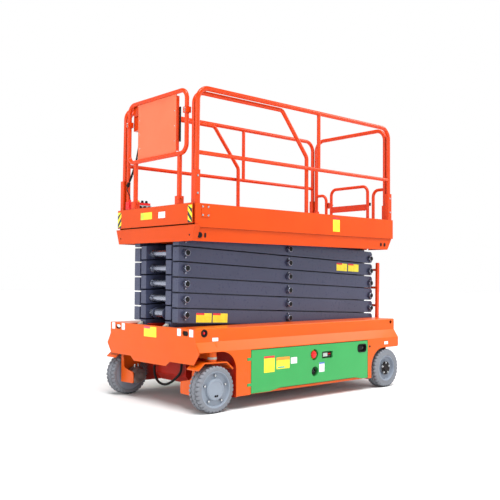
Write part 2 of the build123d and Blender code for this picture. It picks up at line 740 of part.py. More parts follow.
def platform_deck():
    """Deck with tapered skirts, side toe boards, and the lugs and tracks under it."""
    corner_x = skirt_front - skirt_corner
    corner = block(corner_x, skirt_front, -skirt_top_half, skirt_top_half, skirt_bottom - 1, skirt_top + 1)
    deck = skirt_solid(skirt_side_half, 0) + (skirt_solid(skirt_top_half, 0) & corner)
    deck -= skirt_solid(skirt_side_half, board)
    deck -= skirt_solid(skirt_top_half, board) & (Pos(board, 0, 0) * corner)
    deck -= pair(rod_x(skirt_hole_radius, skirt_hole_y, skirt_hole_z, skirt_front - 20, skirt_front + 1))
    deck -= pair(rod_y(skirt_plug_radius, skirt_plug_x, skirt_hole_z, skirt_bottom_half, skirt_top_half))
    deck -= block(platform_rear - 1, platform_rear + 160, -deck_lug_outer - 24, deck_lug_outer + 24,
                  skirt_bottom - 1, skirt_top - 20)
    deck += block(platform_rear, skirt_front, -platform_half, platform_half, skirt_top, skirt_top + 5)
    deck += block(corner_x, skirt_front, -skirt_top_half, skirt_top_half, skirt_top, skirt_top + 5)
    deck += block(platform_rear, platform_front, -platform_half + 1, platform_half - 1, skirt_top + 5, deck_top - 12)
    deck += pair(block(platform_rear, toe_board_front, platform_half - board, platform_half,
                       toe_board_bottom, toe_board_top))
    deck += pair(block(platform_rear, platform_rear + board, gate_half + 14, platform_half, skirt_top + 5,
                       toe_board_top))
    deck += pair(block(platform_rear + 30, platform_front + 60, 435, 475, skirt_top - 44, skirt_top))
    lug = side_plate([(rear_pin_x - 70, skirt_top), (rear_pin_x + 110, skirt_top),
                      (rear_pin_x + 38, front_pin_z(levels) - 38, 37),
                      (rear_pin_x - 38, front_pin_z(levels) - 38, 37)], deck_lug_inner, deck_lug_outer)
    lug -= rod_y(pin_radius + running_gap, rear_pin_x, front_pin_z(levels), deck_lug_inner - 1, deck_lug_outer + 1)
    deck += pair(lug)
    lip = track_lip
    track_inner, track_outer = roller_inner - 6 - lip, roller_outer + 5
    pin_z = front_pin_z(levels)
    x0, x1 = front_pin_x - track_length, front_pin_x + 55
    low, high = pin_z - roller_radius - track_gap, pin_z + roller_radius + 0.3
    track = block(x0, x1, track_inner, track_outer, high, skirt_top)
    track += block(x0, x1, track_inner, track_inner + lip, low - lip, high)
    track += block(x0, x1, track_inner, track_outer, low - lip, low)
    deck += pair(track)
    return deck


def side_rail():
    """Folding side rail: top tube and posts in one bend, mid rail and a short post."""
    top = [(rail_front_x + 4, rail_y, deck_top + 30), (rail_front_x - 8, rail_y, rail_top),
           (rail_rear_x, rail_y, rail_top), (rail_rear_x, rail_y, deck_top + 30)]
    body = bent_tube(top, rail_radius, rail_bend)
    body += rod_x(rail_radius - 3, rail_y, mid_rail_z, rail_rear_x, rail_front_x - 2)
    body += rod_z(rail_radius - 3, -212, rail_y, mid_rail_z, rail_top)
    for x in (rail_front_x + 4, rail_rear_x):
        body += block(x - socket_half, x + socket_half, rail_y - socket_half_width, rail_y + socket_half_width,
                      deck_top - extension_sheet, socket_top)
    return body


def rear_rail():
    """Top rail over the gate with its two posts and the short hoops beside the gate."""
    post_y = 495
    top = [(gate_x, -post_y, deck_top + 20), (gate_x, -post_y, rail_top), (gate_x, post_y, rail_top),
           (gate_x, post_y, deck_top + 20)]
    body = bent_tube(top, rail_radius, rail_bend)
    hoop = [(gate_x, post_y, hoop_top), (gate_x, hoop_y, hoop_top), (gate_x, hoop_y, deck_top - extension_sheet)]
    body += pair(bent_tube(hoop, gate_bar_radius, 70))
    body += pair(block(gate_x - 24, gate_x + 24, post_y - 22, post_y + 22, deck_top - extension_sheet,
                       socket_top - 120))
    for z in gate_hinge_heights:
        half = gate_hinge_half
        body += rod_z(gate_pin_radius, gate_x, gate_hinge_y, z - half - 12, z + half + 12)
        for low, high in ((z - half - 12, z - half - 0.5), (z + half + 0.5, z + half + 12)):
            body += rod_z(gate_hinge_radius, gate_x, gate_hinge_y, low, high)
            body += block(gate_x - 5, gate_x + 5, -hoop_y, gate_hinge_y, low, high)
    return body


def gate():
    """Swing gate: hoop, middle plate and toe plate."""
    low = deck_top + 6
    side = gate_half - gate_bar_radius
    hoop = [(gate_x, -side, low), (gate_x, -side, gate_top), (gate_x, side, gate_top), (gate_x, side, low)]
    body = bent_tube(hoop, gate_bar_radius, 70)
    body += block(gate_x - 5, gate_x + 5, -side, side, 1832, 1900)
    body += block(gate_x - 3, gate_x + 3, -side, side, low + 4, toe_board_top)
    for z in gate_hinge_heights:
        low, high = z - gate_hinge_half, z + gate_hinge_half
        body += block(gate_x - 5, gate_x + 5, gate_hinge_y, -side, low, high)
        body += rod_z(gate_hinge_radius, gate_x, gate_hinge_y, low, high)
        body -= rod_z(gate_pin_radius + running_gap, gate_x, gate_hinge_y, low, high)
    return body


# Roll-out extension

def extension_deck():
    """Sheet that rolls over the main deck, with the front toe board and corner plates."""
    deck = block(extension_rear, extension_front - 6, -extension_half, extension_half, deck_top - extension_sheet, deck_top)
    deck += block(extension_front - 6, extension_front, -front_toe_half, front_toe_half, skirt_top + 16,
                  toe_board_top)
    deck += block(extension_front - 18, extension_front - 6, -extension_half, extension_half, skirt_top + 16,
                  deck_top - 4)
    return deck


def extension_side_rails():
    """Inner rails that travel with the extension, cut away towards the rear."""
    front_x, rear_x = 1252, -96
    points = [(front_x, extension_rail_y, deck_top + 6), (front_x, extension_rail_y, extension_rail_top),
              (232, extension_rail_y, extension_rail_top), (rear_x, extension_rail_y, 2245),
              (rear_x, extension_rail_y, deck_top + 6)]
    body = bent_tube(points, extension_rail_radius, [100, 60, 60])
    for x in (front_x, rear_x):
        body += block(x - 22, x + 22, extension_rail_y - extension_socket_half,
                      extension_rail_y + extension_socket_half, deck_top, deck_top + 150)
    return pair(body)


def front_rail():
    """Closed loop with the sheet panel, its two posts and the clamps to the corner posts."""
    x, half = front_loop_x, front_loop_half - extension_rail_radius
    loop_points = [(x, 0, front_loop_top), (x, half, front_loop_top), (x, half, front_loop_bottom),
                   (x, -half, front_loop_bottom), (x, -half, front_loop_top), (x, -1, front_loop_top)]
    body = bent_tube(loop_points, extension_rail_radius, 80)
    body += rod_y(extension_rail_radius, x, front_loop_top, -4, 4)
    body += block(x - 3, x + 3, -panel_half, panel_half, front_loop_bottom, front_loop_top - 8)
    body += pair(block(x - 30, x - 3, panel_half - 4, panel_half, front_loop_bottom + 30, front_loop_top - 30))
    post_y, foot_half, foot_top = front_post_y, 26, deck_top + front_foot_height
    body += pair(rod_z(extension_rail_radius + 2, x - 6, post_y, deck_top + 6, front_loop_bottom))
    body += pair(block(x - 34, x + 22, post_y - foot_half, post_y + foot_half, deck_top, foot_top))
    body += pair(rod_y(9, x - 6, foot_top - 20, post_y - foot_half - 8, post_y + foot_half + 8))
    clamp_z = front_loop_top - 177
    body += pair(block(x - 26, x + 24, half - 24, half + 24, clamp_z - 25, clamp_z + 25))
    return body


def control_box():
    """Platform control box with its handle guards, bracket and cable gland, behind the front loop."""
    width, depth, height = 120, 116, 150
    x1, low = front_loop_x - 34, control_box_bottom
    box = block(x1 - depth, x1, control_box_y - width / 2, control_box_y + width / 2, low, low + height)
    box = fillet(box.edges().filter_by(Axis.Z), 10)
    body = box + block(x1, x1 + 15, control_box_y - 30, control_box_y + 30, low + height - 20, front_loop_top - 12)
    grip = bent_tube([(x1 - depth + 12, control_box_y - 45, low + height - 4), (x1 - depth + 12, control_box_y - 45, low + height + 36),
                      (x1 - depth + 12, control_box_y + 45, low + height + 36), (x1 - depth + 12, control_box_y + 45, low + height - 4)],
                     5, 16)
    body += grip
    gland_x, gland_y, gland_z = curly_route[0]
    body += rod_z(14, gland_x, gland_y, gland_z, low)
    return body


def outlet_box():
    """Socket box on the extension's right post, where the control lead plugs in."""
    x0, x1, width, low, high = 1055, 1295, 60, 1690, 1786
    y0 = -extension_rail_y + extension_socket_half
    box = block(x0, x1, y0, y0 + width, low, high)
    box = fillet(box.edges().filter_by(Axis.Z), 8)
    gland_x, gland_y, gland_z = lead_route[-1]
    return box + rod_z(11, gland_x, gland_y, high, gland_z)


def cord_coupler():
    """Moulded connector between the curly cord and its lead."""
    start, end = Vector(curly_route[-1]), Vector(lead_route[0])
    way = end - start
    return extrude(Plane(start, z_dir=way) * Circle(coupler_radius), way.length)


def cord_tube(route, radius):
    """Cord as straight runs joined by arcs, each arc as large as its two runs allow."""
    points = [Vector(point) for point in route]
    bends = []
    for before, here, after in zip(points, points[1:], points[2:]):
        turn = (here - before).get_angle(after - here)
        shorter = min((here - before).length, (after - here).length)
        bends.append(0.45 * shorter / tan(radians(turn / 2)))
    print("bend radii", [round(bend) for bend in bends])
    path = FilletPolyline(*points, radius=bends)
    tube = sweep(Plane(path @ 0, z_dir=path % 0) * Circle(radius), path)
    print("volume over section times length", round(tube.volume / (pi * radius ** 2 * path.length), 4))
    return tube


save("tyre_front_left", tyre(front_axle_x, front_rim_radius))
save("tyre_front_right", mirrored(tyre(front_axle_x, front_rim_radius)))
save("tyre_rear_left", tyre(rear_axle_x, rear_rim_radius))
save("tyre_rear_right", mirrored(tyre(rear_axle_x, rear_rim_radius)))
save("rim_front_left", front_rim())
save("rim_front_right", mirrored(front_rim()))
save("rim_rear_left", rear_rim())
save("rim_rear_right", mirrored(rear_rim()))
save("knuckle_left", knuckle())
save("knuckle_right", mirrored(knuckle()))
save("drive_motor_left", drive_motor())
save("drive_motor_right", mirrored(drive_motor()))
save("side_skin_left", chassis_side())
save("side_skin_right", mirrored(chassis_side()))
save("front_panel", front_panel())
save("wheel_bulkheads", wheel_bulkheads())
save("rear_panel", rear_panel())
save("chassis_frame", chassis_frame())
save("belly_box", belly())
save("front_axle", front_axle())
save("rear_axle", rear_axle())
save("door_left", door())
save("door_right", mirrored(door()))
save("tray_left", door_tray())
save("tray_right", mirrored(door_tray()))
save("battery_pack", mirrored(battery_pack()))
save("hydraulic_unit", hydraulic_unit())
save("pothole_guard_left", pothole_guard())
save("pothole_guard_right", mirrored(pothole_guard()))
save("ladder", ladder())
for level in range(1, levels + 1):
    save(f"outer_arm_{level}", outer_arm(level))
    save(f"inner_arm_{level}", inner_arm(level))
save("lift_barrel", lift_barrel())
save("lift_rod", lift_rod())
save("platform_deck", platform_deck())
save("side_rail_left", side_rail())
save("side_rail_right", mirrored(side_rail()))
save("rear_rail", rear_rail())
save("gate", gate())
save("extension_deck", extension_deck())
save("extension_rails", extension_side_rails())
save("front_rail", front_rail())
save("control_box", control_box())
save("outlet_box", outlet_box())
save("cord_coupler", cord_coupler())
save("control_cord", cord_tube(curly_route, curly_radius))
save("control_lead", cord_tube(lead_route, lead_radius))
save("axle_hose", cord_tube(axle_hose_route, hose_radius))
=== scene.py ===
# Looks of a folded electric slab scissor lift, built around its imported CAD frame.
# Metres. X is forward towards the steered wheels, Y is the machine's left, Z is up.

import math

import bmesh
import bpy
from mathutils import Matrix, Vector


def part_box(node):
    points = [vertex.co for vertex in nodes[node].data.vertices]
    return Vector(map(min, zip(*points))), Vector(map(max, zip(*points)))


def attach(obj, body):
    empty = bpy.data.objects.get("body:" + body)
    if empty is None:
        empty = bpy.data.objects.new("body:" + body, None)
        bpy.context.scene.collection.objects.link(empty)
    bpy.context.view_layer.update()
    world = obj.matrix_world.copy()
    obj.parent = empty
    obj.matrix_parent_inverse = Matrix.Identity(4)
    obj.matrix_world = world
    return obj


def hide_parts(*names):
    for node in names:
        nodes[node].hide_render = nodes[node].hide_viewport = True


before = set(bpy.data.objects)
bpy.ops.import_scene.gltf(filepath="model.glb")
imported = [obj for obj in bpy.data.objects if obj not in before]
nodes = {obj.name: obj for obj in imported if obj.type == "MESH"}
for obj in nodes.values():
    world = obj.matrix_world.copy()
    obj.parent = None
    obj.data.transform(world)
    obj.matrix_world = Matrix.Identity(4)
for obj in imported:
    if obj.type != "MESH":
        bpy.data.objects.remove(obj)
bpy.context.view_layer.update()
print("frame loaded:", len(nodes), "nodes")

# Camera at the photograph's place; angles in degrees
photoView = {"position": (4.8974, 5.2822, 1.1141), "azimuth": -131.80, "pitch": 2.026, "roll": 0.364,
             "lensMm": 52.32, "sensorMm": 36, "clipEnd": 100}


def aim(position, azimuth, pitch, roll):
    a, p, r = (math.radians(v) for v in (azimuth, pitch, roll))
    ahead = Vector((math.cos(p) * math.cos(a), math.cos(p) * math.sin(a), math.sin(p)))
    right = ahead.cross(Vector((0, 0, 1))).normalized()
    upward = right.cross(ahead)
    turned = right * math.cos(r) + upward * math.sin(r)
    lifted = upward * math.cos(r) - right * math.sin(r)
    matrix = Matrix((turned, lifted, -ahead)).transposed().to_4x4()
    matrix.translation = position
    return matrix


lens = bpy.data.cameras.new("camera")
lens.sensor_width, lens.lens = photoView["sensorMm"], photoView["lensMm"]
lens.clip_end = photoView["clipEnd"]
camera = bpy.data.objects.new("camera", lens)
bpy.context.scene.collection.objects.link(camera)
camera.matrix_world = aim(photoView["position"], photoView["azimuth"], photoView["pitch"], photoView["roll"])
bpy.context.scene.camera = camera


def softbox(name, position, target, width, height, power):
    data = bpy.data.lights.new(name, "AREA")
    data.shape, data.size, data.size_y, data.energy = "RECTANGLE", width, height, power
    lamp = bpy.data.objects.new(name, data)
    bpy.context.scene.collection.objects.link(lamp)
    way = Vector(target) - Vector(position)
    lamp.matrix_world = Matrix.Translation(position) @ way.to_track_quat("-Z", "Y").to_matrix().to_4x4()


def linear(code):
    # sRGB hex code to linear RGBA
    parts = [int(code[i:i + 2], 16) / 255 for i in (1, 3, 5)]
    return tuple(c / 12.92 if c <= 0.04045 else ((c + 0.055) / 1.055) ** 2.4 for c in parts) + (1.0,)


def add(tree, kind, settings=None, **links):
    # Adds a node; each link is a socket or a value, for the input of that name or of that number as i0, i1
    node = tree.nodes.new("ShaderNode" + kind)
    for key, value in (settings or {}).items():
        setattr(node, key, value)
    for key, value in links.items():
        spot = int(key[1:]) if key[0] == "i" and key[1:].isdigit() else key.replace("_", " ")
        if isinstance(value, bpy.types.NodeSocket):
            tree.links.new(value, node.inputs[spot])
        else:
            node.inputs[spot].default_value = value
    return node


def newTree(name):
    material = bpy.data.materials.new(name)
    material.use_nodes = True
    tree = material.node_tree
    tree.nodes.clear()
    shader = add(tree, "BsdfPrincipled")
    add(tree, "OutputMaterial", Surface=shader.outputs[0])
    return material, tree, shader


def noise(tree, place, sizeMm, detail):
    # Cloudy pattern whose patches are about as wide as the size in millimetres
    return add(tree, "TexNoise", Vector=place, Scale=1000 / sizeMm, Detail=detail, Roughness=0.55).outputs[0]


def band(tree, value, low, high, outLow=0.0, outHigh=1.0):
    # Maps a value from one range to another, clamped
    links = {"From_Min": low, "From_Max": high, "To_Min": outLow, "To_Max": outHigh}
    return add(tree, "MapRange", Value=value, **links).outputs[0]


def mixColour(tree, factor, first, second):
    return add(tree, "Mix", {"data_type": "RGBA"}, i0=factor, i6=first, i7=second).outputs[2]


# Soft boxes: place, target, width, height and watts
softboxes = {
    "front_box": ((7.5, 1.2, 3.0), (0.4, 0, 1.1), 4.0, 4.0, 110),
    "side_box": ((1.0, 8.0, 2.6), (0, 0, 1.1), 6.0, 3.0, 30),
    "rear_sheen": ((-5.0, 2.2, 5.0), (0, 0.5, 0.7), 5.0, 3.0, 170),
}
for name, settings in softboxes.items():
    softbox(name, *settings)
overhead = {"energy": 3.7, "angle": 0.7, "direction": (-0.9, -1.9, -5.6)}
sunData = bpy.data.lights.new("overhead_sun", "SUN")
sunData.energy, sunData.angle = overhead["energy"], overhead["angle"]
sun = bpy.data.objects.new("overhead_sun", sunData)
sun.matrix_world = Vector(overhead["direction"]).to_track_quat("-Z", "Y").to_matrix().to_4x4()
bpy.context.scene.collection.objects.link(sun)

# White studio air, bright round the horizon and dim overhead
skyGlow = {"low": 0.38, "high": 0.60, "horizon": 1.0, "above": 0.15}
world = bpy.data.worlds.new("studio")
world.use_nodes = True
sky = world.node_tree
skyHeight = add(sky, "SeparateXYZ", Vector=add(sky, "TexCoord").outputs["Generated"]).outputs[2]
glow = band(sky, skyHeight, skyGlow["low"], skyGlow["high"], skyGlow["horizon"], skyGlow["above"])
sky.links.new(glow, sky.nodes["Background"].inputs[1])
sky.nodes["Background"].inputs[0].default_value = (1, 1, 1, 1)
bpy.context.scene.world = world
bpy.context.scene.view_settings.view_transform = "Standard"

studioFloor = {"reach": 40, "tones": ("#e6e6e6", "#ebebeb"), "patchMm": 588}
floorPaint, floorTree, floorShader = newTree("pale_matt_studio_floor")
floorPlace = add(floorTree, "TexCoord").outputs["Object"]
floorPatch = band(floorTree, noise(floorTree, floorPlace, studioFloor["patchMm"], 3.0), 0.3, 0.7)
floorTone = mixColour(floorTree, floorPatch, *(linear(code) for code in studioFloor["tones"]))
floorTree.links.new(floorTone, floorShader.inputs["Base Color"])
floorShader.inputs["Roughness"].default_value = 0.95
floorShader.inputs["Specular IOR Level"].default_value = 0.1
floorMesh = bpy.data.meshes.new("studio_floor")
reach = studioFloor["reach"]
floorCorners = [(-reach, -reach, 0), (reach, -reach, 0), (reach, reach, 0), (-reach, reach, 0)]
floorMesh.from_pydata(floorCorners, [], [(0, 1, 2, 3)])
floor = bpy.data.objects.new("studio_floor", floorMesh)
floorMesh.materials.append(floorPaint)
bpy.context.scene.collection.objects.link(floor)
print("camera and light set")


# Wear and painted shade that every surface shares: sizes of its patches, dust, painted shade darkening
# corners, and the gloss of clear coat
wearAndShade = {"driftMm": 435, "grainMm": 26.3, "dustLow": 0.02, "dustMost": 0.16,
        "paintedShade": "#1d1614", "paintedShadeReach": 0.030, "paintedShadeMost": 0.70,
        "specular": 0.15, "coatRough": 0.14, "peelStrength": 0.35}


def coated(name, colour, worn, dust, rough, peelMm, peelPitchMm,
           coat=0.0, metallic=0.0, dustTop=0.5, edge=0.0015):
    # Sprayed or moulded surface: slow tone drift, dust low down, painted shade darkening corners, fine
    # grain, soft edges.
    # The peel keeps its real pitch: too fine to see from the camera, it softens the highlights
    material, tree, shader = newTree(name)
    place = add(tree, "TexCoord").outputs["Object"]
    drift = noise(tree, place, wearAndShade["driftMm"], 3.0)
    grain = noise(tree, place, wearAndShade["grainMm"], 5.0)
    tone = mixColour(tree, band(tree, drift, 0.35, 0.7), linear(colour), linear(worn))
    height = add(tree, "SeparateXYZ", Vector=place).outputs[2]
    lowDown = band(tree, height, dustTop, 0.02)
    patch = band(tree, grain, 0.40, 0.80, wearAndShade["dustLow"], wearAndShade["dustMost"])
    dirt = add(tree, "Math", {"operation": "MULTIPLY"}, i0=lowDown, i1=patch).outputs[0]
    dusted = mixColour(tree, dirt, tone, linear(dust))
    # Painted shade: ambient occlusion darkens the colour towards near black in corners, creases and gaps
    openness = add(tree, "AmbientOcclusion", {"samples": 4}, Distance=wearAndShade["paintedShadeReach"]).outputs["AO"]
    corners = band(tree, openness, 0.80, 0.20, 0.0, wearAndShade["paintedShadeMost"])
    tree.links.new(mixColour(tree, corners, dusted, linear(wearAndShade["paintedShade"])), shader.inputs["Base Color"])
    tree.links.new(band(tree, grain, 0.3, 0.75, rough - 0.05, rough + 0.07), shader.inputs["Roughness"])
    constants = {"Metallic": metallic, "Specular IOR Level": wearAndShade["specular"], "Coat Weight": coat,
                 "Coat Roughness": wearAndShade["coatRough"]}
    for socket, value in constants.items():
        shader.inputs[socket].default_value = value
    peel = noise(tree, place, peelPitchMm, 2.0)
    soft = add(tree, "Bevel", {"samples": 4}, Radius=edge).outputs[0]
    bump = add(tree, "Bump", Strength=wearAndShade["peelStrength"], Distance=peelMm / 1000, Height=peel, Normal=soft)
    tree.links.new(bump.outputs[0], shader.inputs["Normal"])
    return material


def printed(name, colour, rough=0.35):
    # Printed vinyl film under clear laminate, faded in patches of 48 mm
    material, tree, shader = newTree(name)
    fade = noise(tree, add(tree, "TexCoord").outputs["Object"], 47.6, 3.0)
    pale = tuple(min(1.0, c * 1.12 + 0.02) for c in linear(colour)[:3]) + (1.0,)
    ink = mixColour(tree, band(tree, fade, 0.4, 0.7), linear(colour), pale)
    tree.links.new(ink, shader.inputs["Base Color"])
    tree.links.new(band(tree, fade, 0.3, 0.7, rough - 0.05, rough + 0.1), shader.inputs["Roughness"])
    shader.inputs["Coat Weight"].default_value = 0.25
    return material


# Two-part gloss enamel wet-sprayed on bent sheet: soft highlights broken by orange peel 4 mm apart
chassisOrange = coated("gloss_enamel_orange_sprayed", "#e25c0c", "#dd580b", "#8d7a68", 0.33, 0.05, 4,
                       coat=0.20)
# The same enamel on the platform's skirts and toe boards, a shade redder
deckOrange = coated("gloss_enamel_orange_on_deck", "#dc4c0b", "#d7480a", "#8d7a68", 0.33, 0.05, 4,
                    coat=0.10)
# Powder-coated steel tube: an even shine with a finer peel of 2.5 mm
railOrange = coated("powder_coated_tube_orange", "#e0420a", "#db3e08", "#8d7a68", 0.30, 0.05, 2.5,
                    coat=0.30)
# Steel plate pressed with raised bars, under the same enamel: worn, a little duller
deckTread = coated("pressed_tread_plate_orange", "#d4480b", "#c9430a", "#8d7a68", 0.42, 0.05, 4, coat=0.10)
pattern = deckTread.node_tree
patternPlace = add(pattern, "SeparateXYZ", Vector=add(pattern, "TexCoord").outputs["Object"]).outputs
treadPlate = {"pitch": 0.042, "height": 0.0016, "strength": 0.8}  # bars 1.6 mm high, 30 mm apart


def treadWave(sign):
    # Sine across one diagonal of the plate
    forward, sideways = patternPlace[0], patternPlace[1]
    total = add(pattern, "Math", {"operation": "MULTIPLY_ADD"}, i0=sideways, i1=sign, i2=forward)
    turns = 2 * math.pi / treadPlate["pitch"]
    scaled = add(pattern, "Math", {"operation": "MULTIPLY"}, i0=total.outputs[0], i1=turns)
    return add(pattern, "Math", {"operation": "SINE"}, i0=scaled.outputs[0]).outputs[0]


rising, falling = treadWave(1.0), treadWave(-1.0)
bars = []
for along, across in ((rising, falling), (falling, rising)):
    wide, slim = band(pattern, along, -0.35, 0.15), band(pattern, across, 0.80, 0.95)
    bars.append(add(pattern, "Math", {"operation": "MULTIPLY"}, i0=wide, i1=slim).outputs[0])
raised = add(pattern, "Math", {"operation": "MAXIMUM"}, i0=bars[0], i1=bars[1]).outputs[0]
treadShader = next(node for node in pattern.nodes if node.type == "BSDF_PRINCIPLED")
under = treadShader.inputs["Normal"].links[0].from_socket
treadBump = add(pattern, "Bump", Strength=treadPlate["strength"], Distance=treadPlate["height"],
                Height=raised, Normal=under)
pattern.links.new(treadBump.outputs[0], treadShader.inputs["Normal"])

# Flat panel of the front rail, sprayed in a thin coat: pale and nearly matt
panelOrange = coated("sprayed_flat_panel_orange", "#ee7a56", "#e9734f", "#8d7a68", 0.45, 0.04, 3, coat=0.05)
# Powder-coated steel sheet of the side doors: even green with a soft shine
doorGreen = coated("powder_coated_sheet_green", "#3da75a", "#39a055", "#5f7a58", 0.36, 0.05, 3, coat=0.20)
# Slate enamel sprayed over hot-rolled box tube: the mill scale shows as a coarse 6 mm peel
armSlate = coated("sprayed_enamel_slate_box_tube", "#454a63", "#41465e", "#6d6a66", 0.30, 0.08, 6,
                  coat=0.45)
# Dark steel tube, turned and oiled: the lift cylinder's barrel, with a dull metal sheen
darkSteel = coated("oiled_dark_steel", "#232326", "#2c2928", "#5a5148", 0.42, 0.12, 5, metallic=0.4)
# Oxide primer sprayed on the under-frame: flat deep red
frameRed = coated("sprayed_underframe_red", "#b71e09", "#a41906", "#5d4a40", 0.42, 0.10, 5)
# Satin paint on cast wheel centres: the casting's 3.5 mm grain shows through
rimGrey = coated("satin_paint_cast_wheel", "#8f99a6", "#868f9d", "#7a756c", 0.40, 0.12, 3.5, coat=0.10)
# Moulded non-marking grey rubber: matt, dulled by floor dust
tyreGrey = coated("moulded_grey_rubber", "#81858d", "#787c83", "#6e6861", 0.70, 0.15, 2,
                  dustTop=0.4, edge=0.0008)
# Cast iron hubs, blackened: rough and dark with a faint sheen
hubBlack = coated("blackened_cast_hub", "#17171a", "#201e1f", "#4a443e", 0.42, 0.15, 4, metallic=0.3)
# Cast iron of the wheel motors, machined and oiled: brownish with clear highlights
motorIron = coated("oiled_machined_iron", "#8d8280", "#6f6663", "#54473e", 0.32, 0.10, 3, metallic=0.45)
# Folded steel sheet in satin grey paint: trays, pump group
plateGrey = coated("satin_paint_folded_sheet", "#8b939d", "#808892", "#77706a", 0.40, 0.06, 4)
# ABS moulded black in a spark-eroded mould: the 1.2 mm grain breaks up the shine
plasticBlack = coated("moulded_plastic_black", "#121315", "#17181a", "#3c3935", 0.46, 0.08, 1.2,
                      dustTop=0.3)
# Extruded black rubber of cords and hoses: dark with a dull skin
rubberBlack = coated("extruded_rubber_black", "#0f1012", "#161718", "#3c3935", 0.50, 0.05, 1, dustTop=0.3)
# Moulded polypropylene of battery cases: near black and waxy
batteryBlack = coated("battery_case_polypropylene", "#25272b", "#2d2e33", "#55504a", 0.45, 0.08, 2)
# ABS moulded orange: glossy housing of the platform controls
plasticOrange = coated("moulded_plastic_orange", "#dc4410", "#d6400e", "#6a4a44", 0.34, 0.03, 1, coat=0.3)
# Ground and oiled steel tube between the inner arms: bright bands of light
tubeSteel = coated("ground_oiled_steel_tube", "#a4a9b8", "#8f94a4", "#5a5148", 0.24, 0.03, 2, metallic=0.85)
# ABS moulded red and polished: stop buttons and outlet box
plasticRed = coated("moulded_plastic_red", "#ed1415", "#ed0f11", "#6a4a44", 0.28, 0.02, 1,
                    coat=0.5, dustTop=0.2)
# Hard chrome, ground: a near mirror on the lift rod
rodChrome = coated("ground_hard_chrome", "#c9ccd1", "#c2c5ca", "#a9a49c", 0.12, 0.01, 1, metallic=1.0)
# Zinc-plated fasteners: pale and bright
zincPlate = coated("zinc_plated_fastener", "#c3c6c8", "#b5b8ba", "#8a847b", 0.26, 0.03, 1,
                   metallic=0.9, edge=0.0005)
# Turned white nylon of wear rings and stops: matt and slightly grey
nylonWhite = coated("turned_white_nylon", "#aeaba2", "#a3a097", "#8d857a", 0.45, 0.02, 1)
# Films of blank stickers and stripes
filmYellow = printed("printed_vinyl_yellow", "#f2e21c")
filmRed = printed("printed_vinyl_red", "#e01822")
filmPink = printed("printed_vinyl_pink_red", "#e8456a")
filmOrange = printed("printed_vinyl_amber", "#f0941a")
filmWhite = printed("printed_vinyl_white", "#e9edf2")
filmBlue = printed("printed_vinyl_blue", "#3b62b5")
filmGreen = printed("printed_vinyl_lime", "#c6d93a")
filmBlack = printed("printed_vinyl_black", "#16181f")
filmTeal = printed("printed_vinyl_teal", "#3fae9a")
# Pale film of the display window, under clear glass
screenGrey = coated("display_pale_segment_film", "#ccd8d3", "#bfccc6", "#3c3935", 0.25, 0.01, 1, coat=0.5)
print("materials made:", len(bpy.data.materials))

# Finish of each CAD node, by the start of its name
finishOf = {
    "side_skin": chassisOrange, "front_panel": chassisOrange, "rear_panel": chassisOrange,
    "wheel_bulkheads": frameRed, "chassis_frame": frameRed, "belly_box": frameRed,
    "front_axle": chassisOrange, "rear_axle": frameRed, "knuckle": chassisOrange,
    "drive_motor": motorIron, "tyre": tyreGrey, "rim": rimGrey, "door": doorGreen, "tray": plateGrey,
    "battery": batteryBlack, "hydraulic": plateGrey, "pothole": chassisOrange, "ladder": railOrange,
    "outer_arm": armSlate, "inner_arm": armSlate, "lift_barrel": darkSteel, "lift_rod": rodChrome,
    "platform_deck": deckOrange, "side_rail": railOrange, "rear_rail": railOrange, "gate": railOrange,
    "extension_deck": deckOrange, "extension_rails": railOrange, "front_rail": railOrange,
    "control_box": plasticOrange, "outlet_box": plasticRed, "cord_coupler": plasticBlack,
    "control_cord": rubberBlack, "control_lead": rubberBlack, "axle_hose": rubberBlack,
}
for name, node in nodes.items():
    match = max((key for key in finishOf if name.startswith(key)), key=len, default=None)
    if match is None:
        raise SystemExit("no finish for " + name)
    for slot in range(max(1, len(node.data.materials))):
        if slot < len(node.data.materials):
            node.data.materials[slot] = finishOf[match]
        else:
            node.data.materials.append(finishOf[match])
    for polygon in node.data.polygons:
        polygon.use_smooth = True
    node.data.set_sharp_from_angle(angle=math.radians(28))


def refinish(name, material, chosen):
    # Gives the faces that the test chooses a second material
    data = nodes[name].data
    data.materials.append(material)
    for polygon in data.polygons:
        if chosen(polygon):
            polygon.material_index = 1


def shadedInnerFace(name):
    # Inner and under faces of a chassis skin, which take the dark under-frame red as painted shade
    low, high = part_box(name)
    outward = Vector((low.x + high.x, (low.y + high.y) / 2, 0)).normalized()
    return lambda polygon: polygon.normal.dot(outward) < -0.5 or polygon.normal.z < -0.5


# Painted shade: the dark under-frame red on the skins' inner and under faces darkens the inside of the
# chassis
for name in ("side_skin_left", "side_skin_right", "front_panel", "rear_panel"):
    refinish(name, frameRed, shadedInnerFace(name))
# Tread plate on the decks' upper faces, each between its own level and the common top
treadTop = 1.560
for name, level in (("platform_deck", 1.540), ("extension_deck", 1.555)):
    refinish(name, deckTread, lambda face, low=level: face.normal.z > 0.9 and low < face.center.z < treadTop)
railSheet = {"x": 1.283, "halfThick": 0.0033, "halfWidth": 0.291, "low": 2.165, "high": 2.650}


def onRailSheet(polygon):
    spot = polygon.center
    return (abs(spot.x - railSheet["x"]) < railSheet["halfThick"] and abs(spot.y) < railSheet["halfWidth"]
            and railSheet["low"] < spot.z < railSheet["high"])


refinish("front_rail", panelOrange, onRailSheet)
print("finishes assigned")


